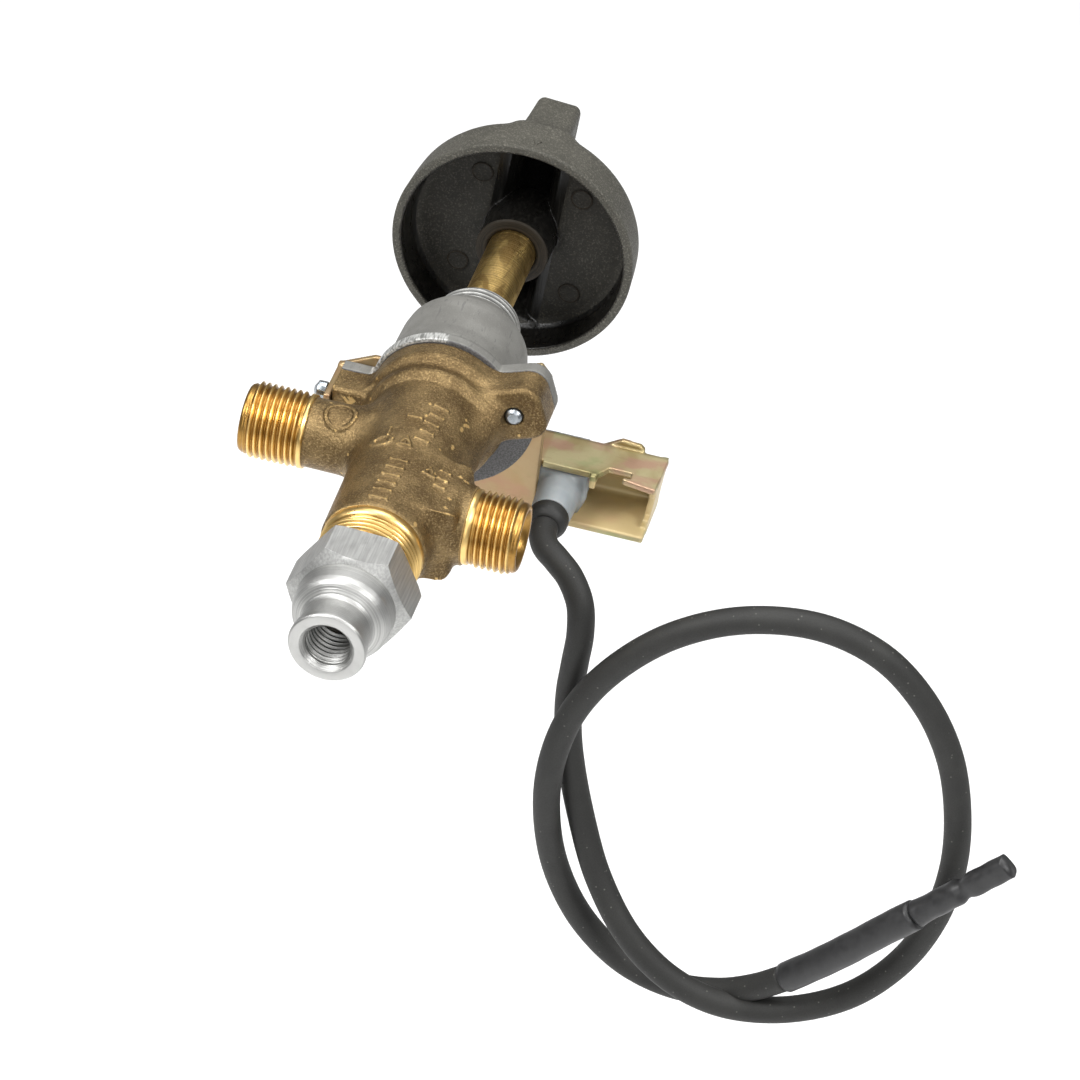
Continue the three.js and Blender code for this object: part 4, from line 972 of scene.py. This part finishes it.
# ---- bracket ----
def bracket_sheet():
    """Bent sheet steel, with rounded folds: plate, channel floor, back and roof."""
    field = Field((-18.4, -26, -19.8), (36, -5.6, 10.4), 0.22)
    plate_outline = [
        (-17.6, -10), (-14, -20), (16.4, -20), (16.4, 7.4), (14.6, 9.4), (9, 7.4), (9, 3), (-9, 3), (-9, 3.6),
        (-12, 3.6), (-17.6, 0.8),
    ]
    plate = field.prism(plate_outline, "XZ", -16.7, -15.7, 0.15)
    plate = cut(plate, field.cylinder(11.35, -30, -10))
    folded = fold(field, -16.2, -6.8, -18.5, -9.5, 1.5)
    channel = extruded(np.maximum(folded, -17.7 - field.y), field.x, 16.7, 34.3, 0.12)
    floor_outline = [
        (-8, -15.7), (-8, -17), (16.4, -17), (16.4, -17.7), (34.3, -17.7), (34.3, -6.3), (15, -6.3),
        (12, -15.7),
    ]
    floor = field.prism(floor_outline, "XY", -19, -18, 0.15)
    roof_outline = [
        (14.6, -6.9), (14.6, -15.6), (16.7, -15.6), (16.7, -16.2), (25.6, -16.2), (27.1, -13.8), (30.7, -13.8),
        (30.7, -15.4), (29.6, -15.4), (29.6, -16), (35.2, -17), (35.4, -8), (34.6, -6.9),
    ]
    window = field.prism(roof_outline, "XY", -10.4, -8.5)
    roof = np.maximum(extruded(folded, field.x, 14.6, 35.4, 0.12), window)
    lower = np.maximum(channel, field.z + 10.4)
    end_wall = field.prism([(33.3, -19), (34.3, -19), (35.2, -9.6), (34.2, -9.6)], "XZ", -15.2, -6.5, 0.15)
    end_wall = cut(end_wall, field.prism(rectangle(30, -16, 38, -13.6), "XY", -16.4, -12))
    tab_outline = [(24.2, -10), (27.4, -8.0), (30.6, -8.3), (31.2, -8.9), (31.2, -10)]
    rear_tab = field.prism(tab_outline, "XZ", -7.3, -6.3, 0.15)
    front_tab = field.prism(rectangle(24.6, -17.1, 25.6, -16.1), "XY", -11.4, -9, 0.12)
    left_tab = field.prism(rectangle(-25.5, -7.5, -15.7, 0.8), "YZ", -17.6, -16.6, 0.2)
    shape = blend_union(plate, floor, 0.5)
    for part in (lower, roof, end_wall, rear_tab, front_tab, left_tab):
        shape = blend_union(shape, part, 0.4)
    shape = cut(shape, screw_bore(field, 1.55, -30, -10))
    shape = cut(shape, field.cylinder(2, -12, -4, "Y", IGNITER_AXIS))
    shape = cut(shape, field.cylinder(1.05, -20, -15, "X", (-22.5, -0.6)))
    return dress(field.mesh("bracket_sheet", shape), "yellow_zinc_sheet", ["bracket"])


def fold(field, front, back, bottom, top, bend):
    """The sheet's mid-line, bent round a box in YZ that is open at the front."""
    half_y, half_z = (back - front) / 2 + 4, (top - bottom) / 2
    dy = np.abs(field.y - (back - half_y)) - half_y + bend
    dz = np.abs(field.z - (top + bottom) / 2) - half_z + bend
    return np.abs(corner(dy, dz) - bend) - 0.5


def refined(name, node):
    """A CAD fastener with its sharp edges rounded."""
    source = frame["nodes"][node]
    obj = placed(name, source.data.copy())
    merge = obj.modifiers.new("merge", "WELD")
    merge.merge_threshold = 0.002 * MM
    flatten = obj.modifiers.new("flatten", "DECIMATE")
    flatten.decimate_type = "DISSOLVE"
    flatten.angle_limit = math.radians(1)
    return dress(soft_edges(baked(obj), 0.1), "zinc_steel", [node])


# ---- igniter and its lead ----
def igniter_shell():
    field = Field((15.2, -23.2, -19), (25, -6.8, -9.6), 0.16)
    outline = [(15.9, -17.9), (23.1, -17.9), (24.1, -14.6), (24.1, -10.4), (15.9, -10.4)]
    box = field.prism(outline, "XZ", -15.6, -7.6, 0.5)
    nose = [(0, -22.6), (3.15, -22.6), (3.3, -21), (3.45, -18), (3.7, -15.4), (0, -15.4)]
    bore = [(0, -21.6), (2.1, -21.6), (2.1, -9), (1.7, -9), (1.7, 0), (0, 0)]
    shape = blend_union(box, field.turned(nose, "Y", IGNITER_AXIS), 1.4)
    shape = cut(shape, field.turned(bore, "Y", IGNITER_AXIS))
    return dress(field.mesh("igniter_shell", shape), "grey_plastic", ["igniter_housing"])


def boot_moulding():
    profile = rounded_profile([
        (0.02, -22.7), (3.25, -22.7), (3.3, -23.9), (3.15, -24.9), (2.5, -25.6), (2.15, -25.75), (0.02, -25.8),
    ], radius=0.5, steps=4)
    obj = revolved("boot_moulding", profile, "Y", IGNITER_AXIS, segments=64)
    return dress(obj, "black_rubber", ["lead_boot"])


def smooth_route(points, per_span):
    """A centripetal curve through the points, as many points in millimetres."""
    points = [Vector(p) for p in points]
    extended = [points[0] * 2 - points[1]] + points + [points[-1] * 2 - points[-2]]
    route = []
    for k in range(1, len(extended) - 2):
        p0, p1, p2, p3 = extended[k - 1:k + 3]
        d1, d2, d3 = [max((b - a).length ** 0.5, 1e-6) for a, b in ((p0, p1), (p1, p2), (p2, p3))]
        m1 = ((p1 - p0) / d1 - (p2 - p0) / (d1 + d2) + (p2 - p1) / d2) * d2
        m2 = ((p2 - p1) / d2 - (p3 - p1) / (d2 + d3) + (p3 - p2) / d3) * d2
        for s in range(per_span):
            t = s / per_span
            a, b = 2 * t ** 3 - 3 * t ** 2 + 1, t ** 3 - 2 * t ** 2 + t
            c, d = -2 * t ** 3 + 3 * t ** 2, t ** 3 - t ** 2
            route.append(p1 * a + m1 * b + p2 * c + m2 * d)
    route.append(points[-1])
    return route


def route_length(route):
    return sum((b - a).length for a, b in zip(route, route[1:]))


def tube(name, route, radii, segments=24, flatten=lambda t: 1.0):
    """A tube along a route. radii gives the radius at each place from 0 to 1 along it."""
    normal = Vector((0, 1, 0))
    vertices, total, run = [], route_length(route), 0.0
    for k, point in enumerate(route):
        tangent = (route[min(k + 1, len(route) - 1)] - route[max(k - 1, 0)]).normalized()
        normal = (normal - tangent * normal.dot(tangent)).normalized()
        side = tangent.cross(normal)
        if k:
            run += (point - route[k - 1]).length
        radius = radii(run / total)
        thin = flatten(run / total)
        square = 2 + (1 - thin) * 8
        for across, up in circle(segments):
            reach = radius * thin ** 0.3 * (abs(across) ** square + abs(up) ** square) ** (-1 / square)
            vertices.append(point + normal * reach * thin * up + side * reach * across)
    return mesh_object(name, vertices, ring_faces(len(route), segments))


def lead_set(boot):
    route = smooth_route(LEAD_POINTS, 9)
    lead = tube("lead_cable", route, lambda t: LEAD_R - 0.01, segments=28)
    dress(lead, "lead_rubber", ["ignition_lead"])

    sleeve_route = smooth_route(SLEEVE_POINTS, 10)
    sleeve = tube("lead_sleeve", sleeve_route, lambda t: 2.5 + 0.035 * math.sin(t * 9) * math.sin(t * 23))
    dress(sleeve, "sleeve_plastic", ["heat_shrink_sleeve"])

    terminal_route = smooth_route(TERMINAL_POINTS, 24)
    end = tube("lead_terminal", terminal_route, terminal_radius, flatten=terminal_flatness)
    dress(end, "sleeve_plastic", ["terminal"])


def terminal_radius(t):
    """The sleeve steps down over the crimp, pinches in at its neck and opens over the flat connector."""
    step = 2.23 - 0.16 * min(1.0, t / 0.06)
    pinch = 0.42 * math.exp(-((t - 0.53) / 0.045) ** 2)
    return step - pinch + 0.04 * math.sin(t * 31)


def terminal_flatness(t):
    """Round at first, then pressed flat over the connector."""
    return 0.97 - 0.17 * min(1.0, max(0.0, (t - 0.45) / 0.12))


# ---- assemble ----
body_forging()
port_thread("outlet_thread", OUTLET_THREAD_X, OUTLET_END_X, OUTLET_Y, plain=0.1)
port_thread("inlet_thread", INLET_THREAD_X, INLET_END_X, INLET_Y, plain=0.8)
neck_thread()
bonnet_casting()
panel_thread()
stem_shaft()
adapter_hex()
adapter_nose()
adapter_spigot()
knob_body()
ejector_marks()
knob_pointer()
bracket_sheet()
refined("pin", "bracket_pin")
refined("screw_right", "bonnet_screw_right")
refined("screw_left", "bonnet_screw_left")
igniter_shell()
lead_set(boot_moulding())


# ---- stage, light and colour ----
def make_floor():
    size, z = 6.0, cad_low.z - 0.25
    mesh = bpy.data.meshes.new("floor")
    corners = [(-size, -size, z), (size, -size, z), (size, size, z), (-size, size, z)]
    mesh.from_pydata(corners, [], [(0, 1, 2, 3)])
    floor = placed("floor", mesh)
    m = Material("floor_paper")
    m.colour = m.mix(m.noise(40.0), (0.90, 0.90, 0.90), (0.93, 0.93, 0.93))
    floor.data.materials.append(m.finish(0.9))


def area_light(name, place, target, size, power):
    data = bpy.data.lights.new(name, "AREA")
    data.shape = "SQUARE"
    data.size = size
    data.energy = power
    light = placed(name, data)
    light.location = place
    light.rotation_mode = "QUATERNION"
    light.rotation_quaternion = (Vector(target) - Vector(place)).to_track_quat("-Z", "Y")


def make_world():
    world = bpy.data.worlds.new("studio")
    bpy.context.scene.world = world
    world.use_nodes = True
    nodes = world.node_tree.nodes
    nodes.clear()
    coordinates, split, half, ramp, background, output = (
        nodes.new("ShaderNode" + kind)
        for kind in ("TexCoord", "SeparateXYZ", "MapRange", "ValToRGB", "Background", "OutputWorld"))
    stops = ramp.color_ramp.elements
    stops[0].position, stops[0].color = 0.35, (0.55, 0.55, 0.55, 1)
    stops[1].position, stops[1].color = 1.0, (1.0, 1.0, 1.0, 1)
    stops.new(0.55).color = (0.38, 0.38, 0.39, 1)
    half.inputs["From Min"].default_value = -1
    background.inputs["Strength"].default_value = 0.45
    for source, target in (
        (coordinates.outputs["Generated"], split.inputs[0]), (split.outputs["Z"], half.inputs["Value"]),
        (half.outputs[0], ramp.inputs[0]), (ramp.outputs[0], background.inputs["Color"]),
        (background.outputs[0], output.inputs[0]),
    ):
        world.node_tree.links.new(source, target)


make_floor()
make_world()
CENTRE = (0.03, -0.02, -0.03)
area_light("key_left", (-0.6, -0.5, 0.9), CENTRE, 0.5, 14)
area_light("key_right", (0.8, -0.3, 0.8), CENTRE, 0.45, 9)
area_light("overhead", (0.0, 0.25, 1.0), CENTRE, 0.6, 8)
area_light("front_fill", (0.25, -0.95, 0.35), CENTRE, 0.6, 3)
bpy.context.scene.view_settings.view_transform = "Standard"
